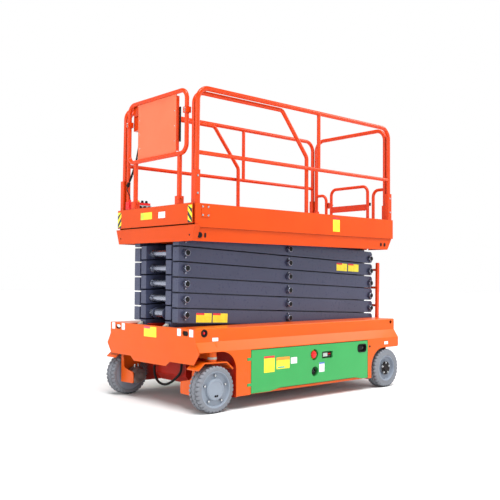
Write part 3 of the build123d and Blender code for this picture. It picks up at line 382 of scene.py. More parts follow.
# Cords, along the same points as their CAD tubes
def spline(name, points, radius, detail=(16, 6)):
    # NURBS curve with the route's points as control points; detail along it and round it
    data = bpy.data.curves.new(name, "CURVE")
    data.dimensions, data.bevel_depth, data.use_fill_caps = "3D", radius, True
    data.resolution_u, data.bevel_resolution = detail
    line = data.splines.new("NURBS")
    line.points.add(len(points) - 1)
    for spot, point in zip(line.points, points):
        spot.co = (*point, 1)
    line.order_u, line.use_endpoint_u = 3, True
    item = bpy.data.objects.new(name, data)
    bpy.context.scene.collection.objects.link(item)
    return item


def lineOf(points):
    # Points of the smooth line itself, from a curve with no bevel
    probe = spline("probe", points, 0.0)
    mesh = bpy.data.meshes.new_from_object(probe)
    line = [vertex.co.copy() for vertex in mesh.vertices]
    bpy.data.objects.remove(probe)
    return line


def lengthOf(line):
    return sum((b - a).length for a, b in zip(line, line[1:]))


def cordPiece(name, points, radius, body, node, detail=(16, 6)):
    item = spline(name, points, radius, detail)
    item.data.materials.append(rubberBlack)
    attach(item, body)
    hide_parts(node)
    lengthOf(lineOf(points))


hose = {"radius": 0.011, "route": [
    (1.140, -0.205, 0.304), (1.140, -0.205, 0.262), (1.144, -0.191, 0.218), (1.148, -0.160, 0.184),
    (1.152, -0.112, 0.158), (1.153, -0.056, 0.148), (1.152, 0.004, 0.154), (1.150, 0.060, 0.176),
    (1.148, 0.112, 0.206), (1.144, 0.158, 0.240), (1.141, 0.193, 0.276), (1.140, 0.205, 0.316),
    (1.140, 0.205, 0.356)]}
cordPiece("axle_hose_rubber", hose["route"], hose["radius"], "chassis", "axle_hose")

lead = {"radius": 0.0045, "route": [
    (1.286, -0.458, 1.925), (1.290, -0.462, 1.909), (1.289, -0.457, 1.889), (1.284, -0.447, 1.871),
    (1.278, -0.438, 1.852), (1.273, -0.435, 1.830), (1.273, -0.435, 1.806)]}
cordPiece("control_lead_rubber", lead["route"], lead["radius"], "extension", "control_lead")

curly = {"outer": 0.012, "wire": 0.0035, "pitch": 0.0092, "perTurn": 12, "taper": 0.02, "route": [
    (1.200, -0.392, 2.420), (1.200, -0.392, 2.368), (1.206, -0.394, 2.310), (1.214, -0.398, 2.250),
    (1.223, -0.403, 2.192), (1.233, -0.410, 2.136), (1.244, -0.419, 2.088), (1.255, -0.428, 2.044),
    (1.266, -0.438, 2.005), (1.276, -0.448, 1.965)]}


def curlyPoints():
    # Helix of the cord's wire round the smooth line, narrowing to it at both ends
    line = lineOf(curly["route"])
    total, turns = lengthOf(line), round(lengthOf(line) / curly["pitch"])
    perTurn, taper, reach = curly["perTurn"], curly["taper"], curly["outer"] - curly["wire"]
    points, run, at = [], 0.0, 0
    for k in range(turns * perTurn + 1):
        want = total * k / (turns * perTurn)
        while at < len(line) - 2 and run + (line[at + 1] - line[at]).length < want:
            run += (line[at + 1] - line[at]).length
            at += 1
        step = line[at + 1] - line[at]
        spot = line[at] + step * min(1.0, max(0.0, (want - run) / step.length))
        side = step.normalized().cross(Vector((0, 1, 0))).normalized()
        front = step.normalized().cross(side)
        turn = 2 * math.pi * k / perTurn
        wide = reach * min(1.0, want / taper, (total - want) / taper)
        points.append(spot + side * wide * math.cos(turn) + front * wide * math.sin(turn))
    return points


cordPiece("control_cord_curly", curlyPoints(), curly["wire"], "extension", "control_cord",
          (3, 3))
print("cords laid")


# Mesh makers
def piece(name, build, materials, body, smooth=30.0, bevel=0.0):
    # Mesh object from a bmesh-filling function; its materials follow the faces' indices
    mesh = bpy.data.meshes.new(name)
    work = bmesh.new()
    build(work)
    bmesh.ops.recalc_face_normals(work, faces=work.faces)
    work.to_mesh(mesh)
    work.free()
    item = bpy.data.objects.new(name, mesh)
    bpy.context.scene.collection.objects.link(item)
    for material in materials if isinstance(materials, list) else [materials]:
        mesh.materials.append(material)
    for polygon in mesh.polygons:
        polygon.use_smooth = True
    mesh.set_sharp_from_angle(angle=math.radians(smooth))
    if bevel:
        edge = item.modifiers.new("edges", "BEVEL")
        edge.width, edge.segments, edge.limit_method = bevel, 2, "ANGLE"
    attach(item, body)
    return item


bothSides = ((1, "left"), (-1, "right"))


def pairOf(name, build, materials, body, smooth=30.0):
    # The same piece on the left and right; a body that ends in _ is one for each side
    for side, word in bothSides:
        rider = body + word if body.endswith("_") else body
        piece(name + "_" + word, lambda work, side=side: build(work, side), materials, rider, smooth)


def axes(normal, up=(0, 0, 1)):
    # Right, upward and outward directions of a flat shape that faces along the normal
    n = Vector(normal).normalized()
    u = (Vector(up) - n * n.dot(Vector(up))).normalized()
    return u.cross(n), u, n


def upFor(axis):
    # An up direction that isn't along the axis
    return (0, 0, 1) if abs(Vector(axis).normalized().z) < 0.9 else (1, 0, 0)


def prism(work, outline, origin, normal, thick, up=(0, 0, 1), material=0):
    # Flat outline drawn out along the normal
    right, upward, out = axes(normal, up)
    base = Vector(origin)
    low = [work.verts.new(base + right * a + upward * b) for a, b in outline]
    high = [work.verts.new(base + right * a + upward * b + out * thick) for a, b in outline]
    faces = [work.faces.new(low[::-1]), work.faces.new(high)]
    for i in range(len(low)):
        j = (i + 1) % len(low)
        faces.append(work.faces.new((low[i], low[j], high[j], high[i])))
    for face in faces:
        face.material_index = material


def rounded(width, height, radius, steps=5):
    # Outline of a rectangle with round corners
    points = []
    for cx, cy, start in ((1, 1, 0), (-1, 1, 90), (-1, -1, 180), (1, -1, 270)):
        for k in range(steps + 1):
            angle = math.radians(start + 90 * k / steps)
            points.append((cx * (width / 2 - radius) + radius * math.cos(angle),
                           cy * (height / 2 - radius) + radius * math.sin(angle)))
    return points


def lathe(work, profile, origin, axis, steps=48, material=0):
    # Profile of (radius, height) pairs turned about the axis
    right, upward, out = axes(axis, upFor(axis))
    base = Vector(origin)
    turns = [2 * math.pi * k / steps for k in range(steps)]
    rings = []
    for radius, height in profile:
        centre = base + out * height
        if radius == 0:
            rings.append([work.verts.new(centre)])
            continue
        ways = [right * math.cos(turn) + upward * math.sin(turn) for turn in turns]
        rings.append([work.verts.new(centre + way * radius) for way in ways])
    for lower, upper in zip(rings, rings[1:]):
        for k in range(steps):
            j = (k + 1) % steps
            corners = [lower[k % len(lower)], lower[j % len(lower)]]
            corners += [upper[j % len(upper)], upper[k % len(upper)]]
            unique = list(dict.fromkeys(corners))
            if len(unique) > 2:
                work.faces.new(unique).material_index = material


# Hexagon head and washer, in shares of the width across the flats
bolt = {"washer": 0.68, "washerThick": 0.09, "head": 0.38, "seat": 0.08, "crownSeat": 0.45,
        "crown": ((0.46, 0), (0.42, 0.06), (0, 0.06))}


def hexBolt(work, origin, axis, size, material=0):
    corner = size * 0.5 * 1.1547
    angles = [math.radians(60 * k) for k in range(6)]
    outline = [(corner * math.cos(angle), corner * math.sin(angle)) for angle in angles]
    out, base = Vector(axis).normalized(), Vector(origin)
    wide, thick = size * bolt["washer"], size * bolt["washerThick"]
    lathe(work, [(0, 0), (wide, 0), (wide, thick), (0, thick)], base, axis, 20, material)
    prism(work, outline, base + out * size * bolt["seat"], axis, size * bolt["head"], upFor(axis), material)
    crown = [(size * radius, size * height) for radius, height in bolt["crown"]]
    lathe(work, crown, base + out * size * bolt["crownSeat"], axis, 12, material)


# Tyres: moulded tread with zigzag grooves, shoulder slots and small sipes; millimetres, and pitch in degrees
tyreMm = {"radius": 190.5, "halfWidth": 63.5, "pitch": 11.25, "perDegree": 3.3, "wallTop": 176,
          "groove": 26.0, "grooveHalf": 4.4, "grooveDepth": 9.0, "zigzag": 3.0, "slope": 1.2,
          "shoulder": 34, "slotHalf": 6.5, "slotDepth": 9.0, "rib": 19, "sipeHalf": 2.0, "sipeDepth": 3.5,
          "sipeSlant": 0.25, "rows": 34, "steps": 384}


def treadRadius(turn, y, base):
    if base < tyreMm["wallTop"]:
        return base
    pitch, slope = tyreMm["pitch"], tyreMm["slope"]

    def away(angle):
        # Millimetres round the tyre from the middle of a pitch
        return abs((angle / pitch) % 1 - 0.5) * pitch * tyreMm["perDegree"]

    wave = abs((turn / pitch) % 1 - 0.5) * 4 - 1
    depth = 0.0
    for side in (-1, 1):
        gap = abs(y - side * tyreMm["groove"] - tyreMm["zigzag"] * wave)
        share = max(0.0, min(1.0, (tyreMm["grooveHalf"] - gap) / slope + 1))
        depth = max(depth, tyreMm["grooveDepth"] * share)
    slot = away(turn + (pitch / 2 if y > 0 else 0))
    if abs(y) > tyreMm["shoulder"] and slot < tyreMm["slotHalf"]:
        share = min(1.0, (abs(y) - tyreMm["shoulder"]) / 3) * min(1.0, (tyreMm["slotHalf"] - slot) / slope)
        depth = max(depth, tyreMm["slotDepth"] * share)
    if abs(y) < tyreMm["rib"] and away(turn + y * tyreMm["sipeSlant"]) < tyreMm["sipeHalf"]:
        depth = max(depth, tyreMm["sipeDepth"] * min(1.0, (tyreMm["rib"] - abs(y)) / 3))
    return base - depth


def tyreSection(rimRadius):
    # Half of the section as (radius, y) from the rim to the shoulder, the tread, and the same mirrored
    half, full, rows = tyreMm["halfWidth"], tyreMm["radius"], tyreMm["rows"]
    wall = [(rimRadius, -half + 1.5), (rimRadius + 3, -half), (rimRadius + 8, -half + 1.2),
            (168, -half + 0.8), (176.5, -half + 0.2), (full - 11, -half + 1.5), (full - 5, -half + 5),
            (full - 1.6, -half + 9)]
    tread = [(full, -half + 12 + (2 * half - 24) * k / rows) for k in range(rows + 1)]
    return wall + tread + [(radius, -y) for radius, y in reversed(wall)]


def buildTyre(centre, rimRadius):
    def build(work):
        across, steps = tyreSection(rimRadius), tyreMm["steps"]
        rings = []
        for k in range(steps):
            turn = 360 * k / steps
            angle = math.radians(turn)
            ring = []
            for base, y in across:
                radius = treadRadius(turn, y, base) / 1000
                ring.append(work.verts.new((centre[0] + radius * math.cos(angle), centre[1] + y / 1000,
                                            centre[2] + radius * math.sin(angle))))
            rings.append(ring)
        for one, two in zip(rings, rings[1:] + rings[:1]):
            for i in range(len(across) - 1):
                work.faces.new((one[i], one[i + 1], two[i + 1], two[i]))
            work.faces.new((one[-1], one[0], two[0], two[-1]))
    return build


wheels = ("front_left", "front_right", "rear_left", "rear_right")
for name in wheels:
    low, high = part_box("tyre_" + name)
    rimLow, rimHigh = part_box("rim_" + name)
    rimRadius = (rimHigh[0] - rimLow[0]) / 2 * 1000
    centre = [(a + b) / 2 for a, b in zip(low, high)]
    tyre = piece("tread_" + name, buildTyre(centre, rimRadius), tyreGrey, "wheel_" + name, 50)
    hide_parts("tyre_" + name)
print("tyres moulded")


# Stickers: blank films in the places and colours of the real ones
film = {"corner": 0.004, "thick": 0.0005, "lift": 0.0002, "step": 0.0004}


def sticker(name, body, centre, normal, size, films, up=(0, 0, 1)):
    # Each film is (material, left, right, low, high) in fractions of the sticker; the first is its base
    width, height = size
    right, upward, out = axes(normal, up)

    def build(work):
        for k, (_, near, far, low, high) in enumerate(films):
            middle = Vector(centre) + right * width * ((near + far) / 2 - 0.5)
            middle += upward * height * ((low + high) / 2 - 0.5) + out * (film["lift"] + film["step"] * k)
            wide, tall = width * (far - near), height * (high - low)
            outline = rounded(wide, tall, min(film["corner"], wide / 3, tall / 3), 3)
            prism(work, outline, middle, normal, film["thick"], up, k)
    piece(name, build, [each[0] for each in films], body)


def plain(material):
    # One film over the whole sticker
    return [(material, 0, 1, 0, 1)]


left, ahead, above = (0, 1, 0), (1, 0, 0), (0, 0, 1)
doorStickers = {
    "door_sticker_yellow": ((0.568, 0.352), (0.126, 0.140), plain(filmYellow) + [(filmRed, 0, 1, 0.87, 1)]),
    "door_sticker_amber": ((0.4025, 0.352), (0.161, 0.102), plain(filmYellow) + [
        (filmOrange, 0, 1, 0.74, 1), (filmTeal, 0.08, 0.62, 0.08, 0.20)]),
    "door_sticker_white": ((0.267, 0.3635), (0.078, 0.055), plain(filmWhite)),
    "door_sticker_socket": ((-0.0985, 0.276), (0.071, 0.088),
                            plain(filmWhite) + [(filmBlue, 0, 1, 0.84, 1)]),
}
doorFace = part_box("door_left")[1].y
for name, (spot, size, films) in doorStickers.items():
    sticker(name, "bay_left", (spot[0], doorFace, spot[1]), left, size, films)

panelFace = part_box("front_panel")[1].x
sticker("front_sticker_yellow", "chassis", (panelFace, 0.005, 0.624), ahead, (0.190, 0.088),
        plain(filmYellow) + [(filmPink, 0, 0.5, 0.80, 1)])
for side, word in bothSides[::-1]:
    for k, y in enumerate((0.427, 0.592)):
        sticker(f"front_sticker_white_{word}_{k + 1}", "chassis", (panelFace, side * y, 0.646), ahead,
                (0.052, 0.060), plain(filmWhite))
bandFace, skinFace = 0.646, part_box("side_skin_left")[1].y
sticker("band_sticker_white", "chassis", (1.1275, bandFace, 0.5905), left, (0.062, 0.029), plain(filmWhite))
sticker("skin_sticker_white", "chassis", (-1.055, skinFace, 0.445), left, (0.060, 0.030), plain(filmWhite))

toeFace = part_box("extension_deck")[1].x
sticker("toe_sticker_lime", "extension", (toeFace, -0.098, 1.633), ahead, (0.176, 0.062),
        plain(filmYellow) + [(filmGreen, 0, 0.30, 0, 1)])
sticker("toe_sticker_white", "extension", (toeFace, 0.139, 1.631), ahead, (0.100, 0.054), plain(filmWhite))

armFace, armTilt = 0.334, math.atan2(0.107, 2.452)
armStickers = {
    "arm_sticker_1": ("outer_1", (1.0015, 0.748), (0.171, 0.080)),
    "arm_sticker_2": ("outer_1", (0.820, 0.741), (0.168, 0.080)),
    "arm_sticker_3": ("outer_5", (-0.7965, 1.208), (0.163, 0.078)),
    "arm_sticker_4": ("outer_5", (-0.978, 1.203), (0.168, 0.078)),
}
for name, (body, spot, size) in armStickers.items():
    sticker(name, body, (spot[0], armFace, spot[1]), left, size,
            plain(filmYellow) + [(filmRed, 0, 0.52, 0.80, 1)], up=(-math.sin(armTilt), 0, math.cos(armTilt)))

hazard = {"width": 0.057, "low": 1.546, "high": 1.690, "y": 0.5385, "pitch": 0.074, "rise": 0.062,
          "bar": 0.037, "least": 0.004}


def hazardStrip(side):
    # Black slanted bars clipped to a yellow strip, mirrored on the two ends
    def build(work):
        half, tall = hazard["width"] / 2, hazard["high"] - hazard["low"]
        middle = Vector((toeFace, side * hazard["y"], (hazard["low"] + hazard["high"]) / 2))
        prism(work, [(-half, -tall / 2), (half, -tall / 2), (half, tall / 2), (-half, tall / 2)],
              middle + Vector((film["lift"], 0, 0)), ahead, film["thick"])
        for k in range(-1, 3):
            start = -tall / 2 + k * hazard["pitch"] + (hazard["rise"] if side > 0 else 0)
            end = start + hazard["rise"] * -side
            wide = hazard["bar"]
            corners = ((-half, start), (half, end), (half, end + wide), (-half, start + wide))
            bar = [(y, min(tall / 2, max(-tall / 2, z))) for y, z in corners]
            unique = [corner for i, corner in enumerate(bar) if corner != bar[i - 1]]
            rise = max(z for _, z in bar) - min(z for _, z in bar)
            if len(unique) > 2 and rise > hazard["least"]:
                spot = middle + Vector((film["lift"] + film["step"], 0, 0))
                prism(work, unique, spot, ahead, film["thick"], material=1)
    return build


for side, word in bothSides[::-1]:
    piece("hazard_strip_" + word, hazardStrip(side), [filmYellow, filmBlack], "extension")
print("stickers placed")


# Chassis controls, on the left door and the skins
def dome(work, centre, normal, radius, height, rows=6):
    angles = [math.radians(90 * k / rows) for k in range(rows)]
    profile = [(radius * math.cos(angle), height * math.sin(angle)) for angle in angles]
    lathe(work, [(radius, -0.002)] + profile + [(0, height)], centre, normal, 32)


stop = {"x": 0.001, "z": 0.396, "recess": 0.050, "depth": 0.032,
        "collar": [(0, 0), (0.044, 0), (0.044, 0.003), (0.040, 0.005), (0, 0.005)],
        "button": [(0, 0.005), (0.018, 0.005), (0.018, 0.013), (0.031, 0.016), (0.035, 0.021),
                   (0.033, 0.026), (0.022, 0.030), (0, 0.031)]}
recessFloor = doorFace - stop["depth"]


def buildStop(work):
    # Mushroom button on a yellow collar, at the bottom of the door's round recess
    centre = (stop["x"], recessFloor, stop["z"])
    lathe(work, stop["collar"], centre, left, 48, 1)
    lathe(work, stop["button"], centre, left, 48)


piece("stop_button", buildStop, [plasticRed, filmYellow], "bay_left", smooth=40)

display = {"x": -0.175, "z": 0.384, "width": 0.147, "height": 0.063, "window": (0.062, 0.034),
           "keys": (-0.030, -0.048),
           "key": [(0, 0), (0.0065, 0), (0.0060, 0.004), (0, 0.0045)],
           "screw": [(0, 0), (0.0030, 0), (0.0025, 0.002), (0, 0.002)]}


def buildDisplay(work):
    base = Vector((display["x"], recessFloor, display["z"]))
    prism(work, rounded(display["width"] - 0.016, display["height"] - 0.014, 0.006), base, left, 0.016)
    window = rounded(*display["window"], 0.003)
    prism(work, window, base + Vector((0.014, 0.016, 0)), left, 0.0012, material=1)
    for x in display["keys"]:
        lathe(work, display["key"], base + Vector((x, 0.016, 0.006)), left, 24, 2)
        lathe(work, display["screw"], base + Vector((x, 0.016, -0.014)), left, 16, 3)


piece("display_unit", buildDisplay, [plasticBlack, screenGrey, plasticRed, zincPlate], "bay_left",
      bevel=0.0008)

inlet = {"x": -0.008, "z": 0.243, "recess": 0.045, "pinCircle": 0.011,
         "shell": [(0, 0), (0.031, 0), (0.031, 0.010), (0.028, 0.013), (0.024, 0.013), (0.023, 0.006),
                   (0, 0.006)],
         "pin": [(0, 0), (0.0028, 0), (0.0024, 0.006), (0, 0.0065)]}


def buildSocket(work):
    # Charging inlet with three pins and the stub of its hinge
    centre = Vector((inlet["x"], recessFloor, inlet["z"]))
    lathe(work, inlet["shell"], centre, left, 40)
    for k in range(3):
        angle, reach = math.radians(90 + 120 * k), inlet["pinCircle"]
        spot = centre + Vector((reach * math.cos(angle), 0.006, reach * math.sin(angle)))
        lathe(work, inlet["pin"], spot, left, 16, 1)
    prism(work, rounded(0.030, 0.008, 0.002), centre + Vector((0, 0.002, 0.033)), left, 0.012)


piece("charging_socket", buildSocket, [plasticBlack, zincPlate], "bay_left", smooth=35)

latch = {"x": -0.675, "z": 0.415, "width": 0.120, "height": 0.071, "lip": 0.0035, "depth": 0.026,
         "draft": 0.94, "pin": [(0, 0), (0.009, 0), (0.009, 0.006), (0, 0.006)]}


def buildLatch(work, side):
    # Recessed cup with a lip round it, a paddle and its pin
    base, facing = Vector((latch["x"], side * doorFace, latch["z"])), (0, side, 0)
    ring = rounded(latch["width"] + 0.012, latch["height"] + 0.010, 0.030, 8)
    hole = rounded(latch["width"] - 0.008, latch["height"] - 0.010, 0.026, 8)
    right, upward, out = axes(facing)

    def loop(outline, height, share=1.0):
        spots = [base + right * a * share + upward * b * share + out * height for a, b in outline]
        return [work.verts.new(spot) for spot in spots]

    outer, foot = loop(ring, latch["lip"]), loop(ring, 0)
    inner, deep = loop(hole, latch["lip"]), loop(hole, -latch["depth"], latch["draft"])
    for lower, upper in ((foot, outer), (outer, inner), (inner, deep)):
        for k in range(len(ring)):
            j = (k + 1) % len(ring)
            work.faces.new((lower[k], lower[j], upper[j], upper[k]))
    work.faces.new(deep)
    prism(work, rounded(0.060, 0.040, 0.012, 6), base + Vector((0.012, -side * 0.018, 0)), facing, 0.012)
    lathe(work, latch["pin"], base + Vector((-0.036, -side * 0.024, 0)), facing, 24, 1)


pairOf("door_latch", buildLatch, [plasticBlack, zincPlate], "bay_", 35)


def buildRecessCovers(work):
    # Plain covers in the right door's recesses, which carry no controls
    facing = (0, -1, 0)
    for part in (stop, inlet):
        radius = part["recess"]
        lathe(work, [(0, 0), (radius - 0.001, 0), (radius - 0.001, 0.004), (radius - 0.008, 0.006),
                     (radius - 0.010, 0.004), (0, 0.004)], (part["x"], -recessFloor, part["z"]), facing, 48)
    prism(work, rounded(display["width"] - 0.004, display["height"] - 0.004, 0.010),
          (display["x"], -recessFloor, display["z"]), facing, 0.004)


piece("recess_covers", buildRecessCovers, plasticBlack, "bay_right", smooth=35)

keyhole = {"x": -0.795, "z": 0.424,
           "profile": [(0, 0), (0.010, 0), (0.009, 0.004), (0.004, 0.0045), (0.004, 0.001), (0, 0.001)]}


def buildKeyhole(work):
    lathe(work, keyhole["profile"], (keyhole["x"], skinFace, keyhole["z"]), left, 28)


piece("skin_lock", buildKeyhole, plasticBlack, "chassis")

knob = {"x": 1.243, "z": 0.646, "sunk": 0.016, "radius": 0.0155,
        "ring": [(0, -0.006), (0.0225, -0.006), (0.0225, 0.0162), (0.0325, 0.0162), (0.0315, 0.0205),
                 (0.0195, 0.0205), (0.0185, 0.002), (0, 0.002)]}


def buildKnob(work):
    # Red push knob in a black ring
    centre = Vector((knob["x"], bandFace - knob["sunk"], knob["z"]))
    lathe(work, knob["ring"], centre, left, 40, 1)
    dome(work, centre + Vector((0, 0.004, 0)), left, knob["radius"], 0.016)


piece("brake_release_knob", buildKnob, [plasticRed, plasticBlack], "chassis", smooth=40)

# Strips behind the gap round each door, as x and z from and to; the front one leaves room for the hinge tabs
seal = {"y": 0.6895, "thick": 0.004, "strips": (
    (0.7765, 0.790, 0.112, 0.181), (0.7765, 0.790, 0.209, 0.396), (0.7765, 0.790, 0.424, 0.498),
    (-0.776, 0.7765, 0.4845, 0.498), (-0.776, -0.7625, 0.112, 0.4845))}


def buildSeals(work):
    for side, _ in bothSides:
        for x0, x1, z0, z1 in seal["strips"]:
            corners = [(-side * x0, z0), (-side * x1, z0), (-side * x1, z1), (-side * x0, z1)]
            prism(work, corners, (0, side * seal["y"], 0), (0, side, 0), seal["thick"])


piece("door_seals", buildSeals, rubberBlack, "chassis")

# Painted shade: a black sheet set in the near tie-down slot stands in for the shade inside it
slotShadeSheet = {"y": 0.514, "z": 0.640, "width": 0.074, "height": 0.036, "sunk": 0.009}


def buildSlotShadeSheet(work):
    # Black sheet behind the near tie-down slot of the front panel: painted shade that makes the open slot
    # dark
    spot = (panelFace - slotShadeSheet["sunk"], slotShadeSheet["y"], slotShadeSheet["z"])
    prism(work, rounded(slotShadeSheet["width"], slotShadeSheet["height"], 0.017, 8), spot, ahead, 0.002)


piece("slot_painted_shade_sheet", buildSlotShadeSheet, plasticBlack, "chassis")

# Heights of the motor's profiles are measured outward from its inner end
motor = {"x": 1.156, "y": 0.409, "z": 0.1905, "bolts": 8, "boltCircle": 0.067, "boltBack": 0.0295,
         "boltSize": 0.011,
         "flange": [(0.0600, -0.050), (0.0745, -0.049), (0.0760, -0.046), (0.0760, -0.031), (0.0720, -0.028),
                    (0.0640, -0.010), (0.0590, -0.001), (0.0300, 0.002), (0.0280, 0.006), (0, 0.006)],
         "rib": [(0.0530, -0.105), (0.0660, -0.104), (0.0680, -0.100), (0.0680, -0.072), (0.0660, -0.068),
                 (0.0530, -0.067)],
         "union": [(0.012, 0), (0.012, 0.010), (0.009, 0.012), (0.009, 0.024), (0, 0.024)],
         "unionY": 0.474, "unionZ": 0.2645}


def buildMotorCover(work, side):
    # Brake housing over the motor's inner end: flange, rib, cover bolts and two port unions
    end, outward = Vector((motor["x"], side * motor["y"], motor["z"])), (0, -side, 0)
    lathe(work, motor["flange"], end, outward, 56)
    lathe(work, motor["rib"], end, outward, 48)
    for k in range(motor["bolts"]):
        angle, reach = math.radians(360 * k / motor["bolts"] + 22), motor["boltCircle"]
        spot = Vector((reach * math.cos(angle), side * motor["boltBack"], reach * math.sin(angle)))
        hexBolt(work, end + spot, outward, motor["boltSize"], 1)
    for x in (-0.018, 0.018):
        lathe(work, motor["union"], (motor["x"] + x, side * motor["unionY"], motor["unionZ"]), above, 24, 1)


pairOf("motor_cover", buildMotorCover, [motorIron, zincPlate], "steer_", 35)

battery = {"along": 4, "across": 2, "gap": 0.012, "lid": 0.010, "caps": (-0.06, 0, 0.06),
           "posts": (-0.105, 0.105),
           "cap": [(0.017, 0), (0.017, 0.007), (0.014, 0.009), (0, 0.009)],
           "post": [(0.010, 0), (0.0085, 0.016), (0, 0.016)]}


def buildBatteryTops(work):
    # Lids, filler caps, posts and links of the batteries on the right tray
    low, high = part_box("battery_pack")
    length, width = (high.x - low.x) / battery["along"], (high.y - low.y) / battery["across"]
    lidOutline = rounded(width - battery["gap"], length - battery["gap"], 0.008)
    link = rounded(0.016, length - 0.19, 0.006)
    for i in range(battery["along"]):
        for j in range(battery["across"]):
            spot = Vector((low.x + (i + 0.5) * length, low.y + (j + 0.5) * width, high.z))
            prism(work, lidOutline, spot, above, battery["lid"], up=ahead)
            for x in battery["caps"]:
                lathe(work, battery["cap"], spot + Vector((x, 0.02, battery["lid"])), above, 24, 1)
            for x in battery["posts"]:
                lathe(work, battery["post"], spot + Vector((x, -0.035, battery["lid"])), above, 20, 2)
            if i < battery["along"] - 1:
                end = spot + Vector((length / 2, -0.035, 0.020))
                prism(work, link, end, above, 0.006, up=ahead, material=3)


piece("battery_tops", buildBatteryTops, [batteryBlack, plasticRed, zincPlate, plasticBlack], "bay_right",
      bevel=0.001)

pump = {"fins": 14, "finPitch": 0.022, "fin": (0.200, 0.004), "charger": (0.210, 0.330),
        "block": (0.110, 0.150), "blockHeight": 0.038, "plug": [(0.012, 0), (0.012, 0.012), (0, 0.012)],
        "filler": [(0.030, 0), (0.030, 0.018), (0.026, 0.022), (0.012, 0.022), (0.010, 0.030), (0, 0.030)]}


def buildPumpTop(work):
    # Charger with fins, filler cap and valve block on the hydraulic unit
    low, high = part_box("hydraulic_unit")
    y, z = (low.y + high.y) / 2, high.z
    for k in range(pump["fins"]):
        spot = (high.x - 0.09 - pump["finPitch"] * k, y, z)
        prism(work, rounded(*pump["fin"], 0.001, 2), spot, above, 0.042, up=ahead)
    prism(work, rounded(*pump["charger"], 0.010), (high.x - 0.235, y, z), above, 0.020, up=ahead)
    lathe(work, pump["filler"], (low.x + 0.10, y + 0.06, z), above, 36, 1)
    block = rounded(*pump["block"], 0.004)
    prism(work, block, (low.x + 0.32, y, z), above, pump["blockHeight"], up=ahead, material=2)
    for k in range(4):
        spot = (low.x + 0.265 + 0.036 * k, y + 0.03, z + pump["blockHeight"])
        lathe(work, pump["plug"], spot, above, 20, 2)


piece("pump_group_top", buildPumpTop, [plateGrey, plasticBlack, zincPlate], "bay_left",
      bevel=0.0008)
print("chassis controls made")


# Wheels: front hub covers with their bolts, black rear hubs with wheel nuts
frontHub = {"sunk": 0.012, "circle": 0.112, "turn": 18, "coverSunk": 0.003, "plugs": (-0.016, 0.004),
            "plugDrop": 0.052,
            "bolt": [(0, 0), (0.0088, 0), (0.0088, 0.0035), (0.0072, 0.0050), (0, 0.0052)],
            "rim": [(0.080, 0.0002), (0.078, 0.0022), (0.070, 0.0022), (0.068, 0.0002)],
            "plug": [(0, 0), (0.0085, 0), (0.0085, 0.003), (0.006, 0.0045), (0, 0.0045)]}
rearHub = {"sunk": 0.014, "circle": 0.052, "turn": 90, "nutSize": 0.016, "nutSeat": 0.0035,
           "disc": [(0.0715, -0.018), (0.0715, 0.001), (0.066, 0.0035), (0.036, 0.0035), (0.033, 0.010),
                    (0.030, 0.0125), (0, 0.0125)]}


def fiveRound(base, circle, turn):
    # Five spots round a wheel's axis
    angles = [math.radians(72 * k + turn) for k in range(5)]
    return [base + Vector((circle * math.cos(angle), 0, circle * math.sin(angle))) for angle in angles]


def buildFrontHub(work, middle, side):
    out = Vector((0, side, 0))
    for spot in fiveRound(middle - out * frontHub["sunk"], frontHub["circle"], frontHub["turn"]):
        lathe(work, frontHub["bolt"], spot, out, 20)
    cover = middle - out * frontHub["coverSunk"]
    lathe(work, frontHub["rim"], cover, out, 72, 1)
    for x in frontHub["plugs"]:
        lathe(work, frontHub["plug"], cover + Vector((x * side, 0, -frontHub["plugDrop"])), out, 20, 2)


def buildRearHub(work, middle, side):
    out = Vector((0, side, 0))
    base = middle - out * rearHub["sunk"]
    lathe(work, rearHub["disc"], base, out, 64, 2)
    for spot in fiveRound(base + out * rearHub["nutSeat"], rearHub["circle"], rearHub["turn"]):
        hexBolt(work, spot, out, rearHub["nutSize"])


for name in wheels:
    low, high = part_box("rim_" + name)
    side = 1 if low.y > 0 else -1
    middle = Vector(((low.x + high.x) / 2, high.y if side > 0 else low.y, (low.z + high.z) / 2))
    build = buildFrontHub if name.startswith("front") else buildRearHub
    piece("hub_" + name, lambda work, build=build, middle=middle, side=side: build(work, middle, side),
          [zincPlate, rimGrey, hubBlack], "wheel_" + name, smooth=35)

wearRing = {"x": 1.156, "y": 0.6365, "z": 0.447,
            "profile": [(0.0405, -0.0150), (0.043, -0.0140), (0.043, 0.0020), (0.0405, 0.0030)]}


def buildWearRing(work, side):
    lathe(work, wearRing["profile"], (wearRing["x"], side * wearRing["y"], wearRing["z"]), above)


pairOf("kingpin_ring", buildWearRing, nylonWhite, "chassis")
print("hubs made")


# Scissor pins: turned heads with a black plug, and a small keeper bolt
stack = {"levels": 6, "pitch": 0.131, "baseZ": 0.650, "rearX": -1.245, "arm": 2.455}
frontX = stack["rearX"] + stack["arm"] * math.cos(math.asin(stack["pitch"] / stack["arm"]))
midX = (stack["rearX"] + frontX) / 2
pin = {"y": 0.350, "radius": 0.0275, "reach": 0.022, "rearReach": 0.012, "lowestReach": 0.004,
       "keeperY": 0.342, "keeperX": 0.002, "keeperZ": 0.0395, "keeperSize": 0.012}


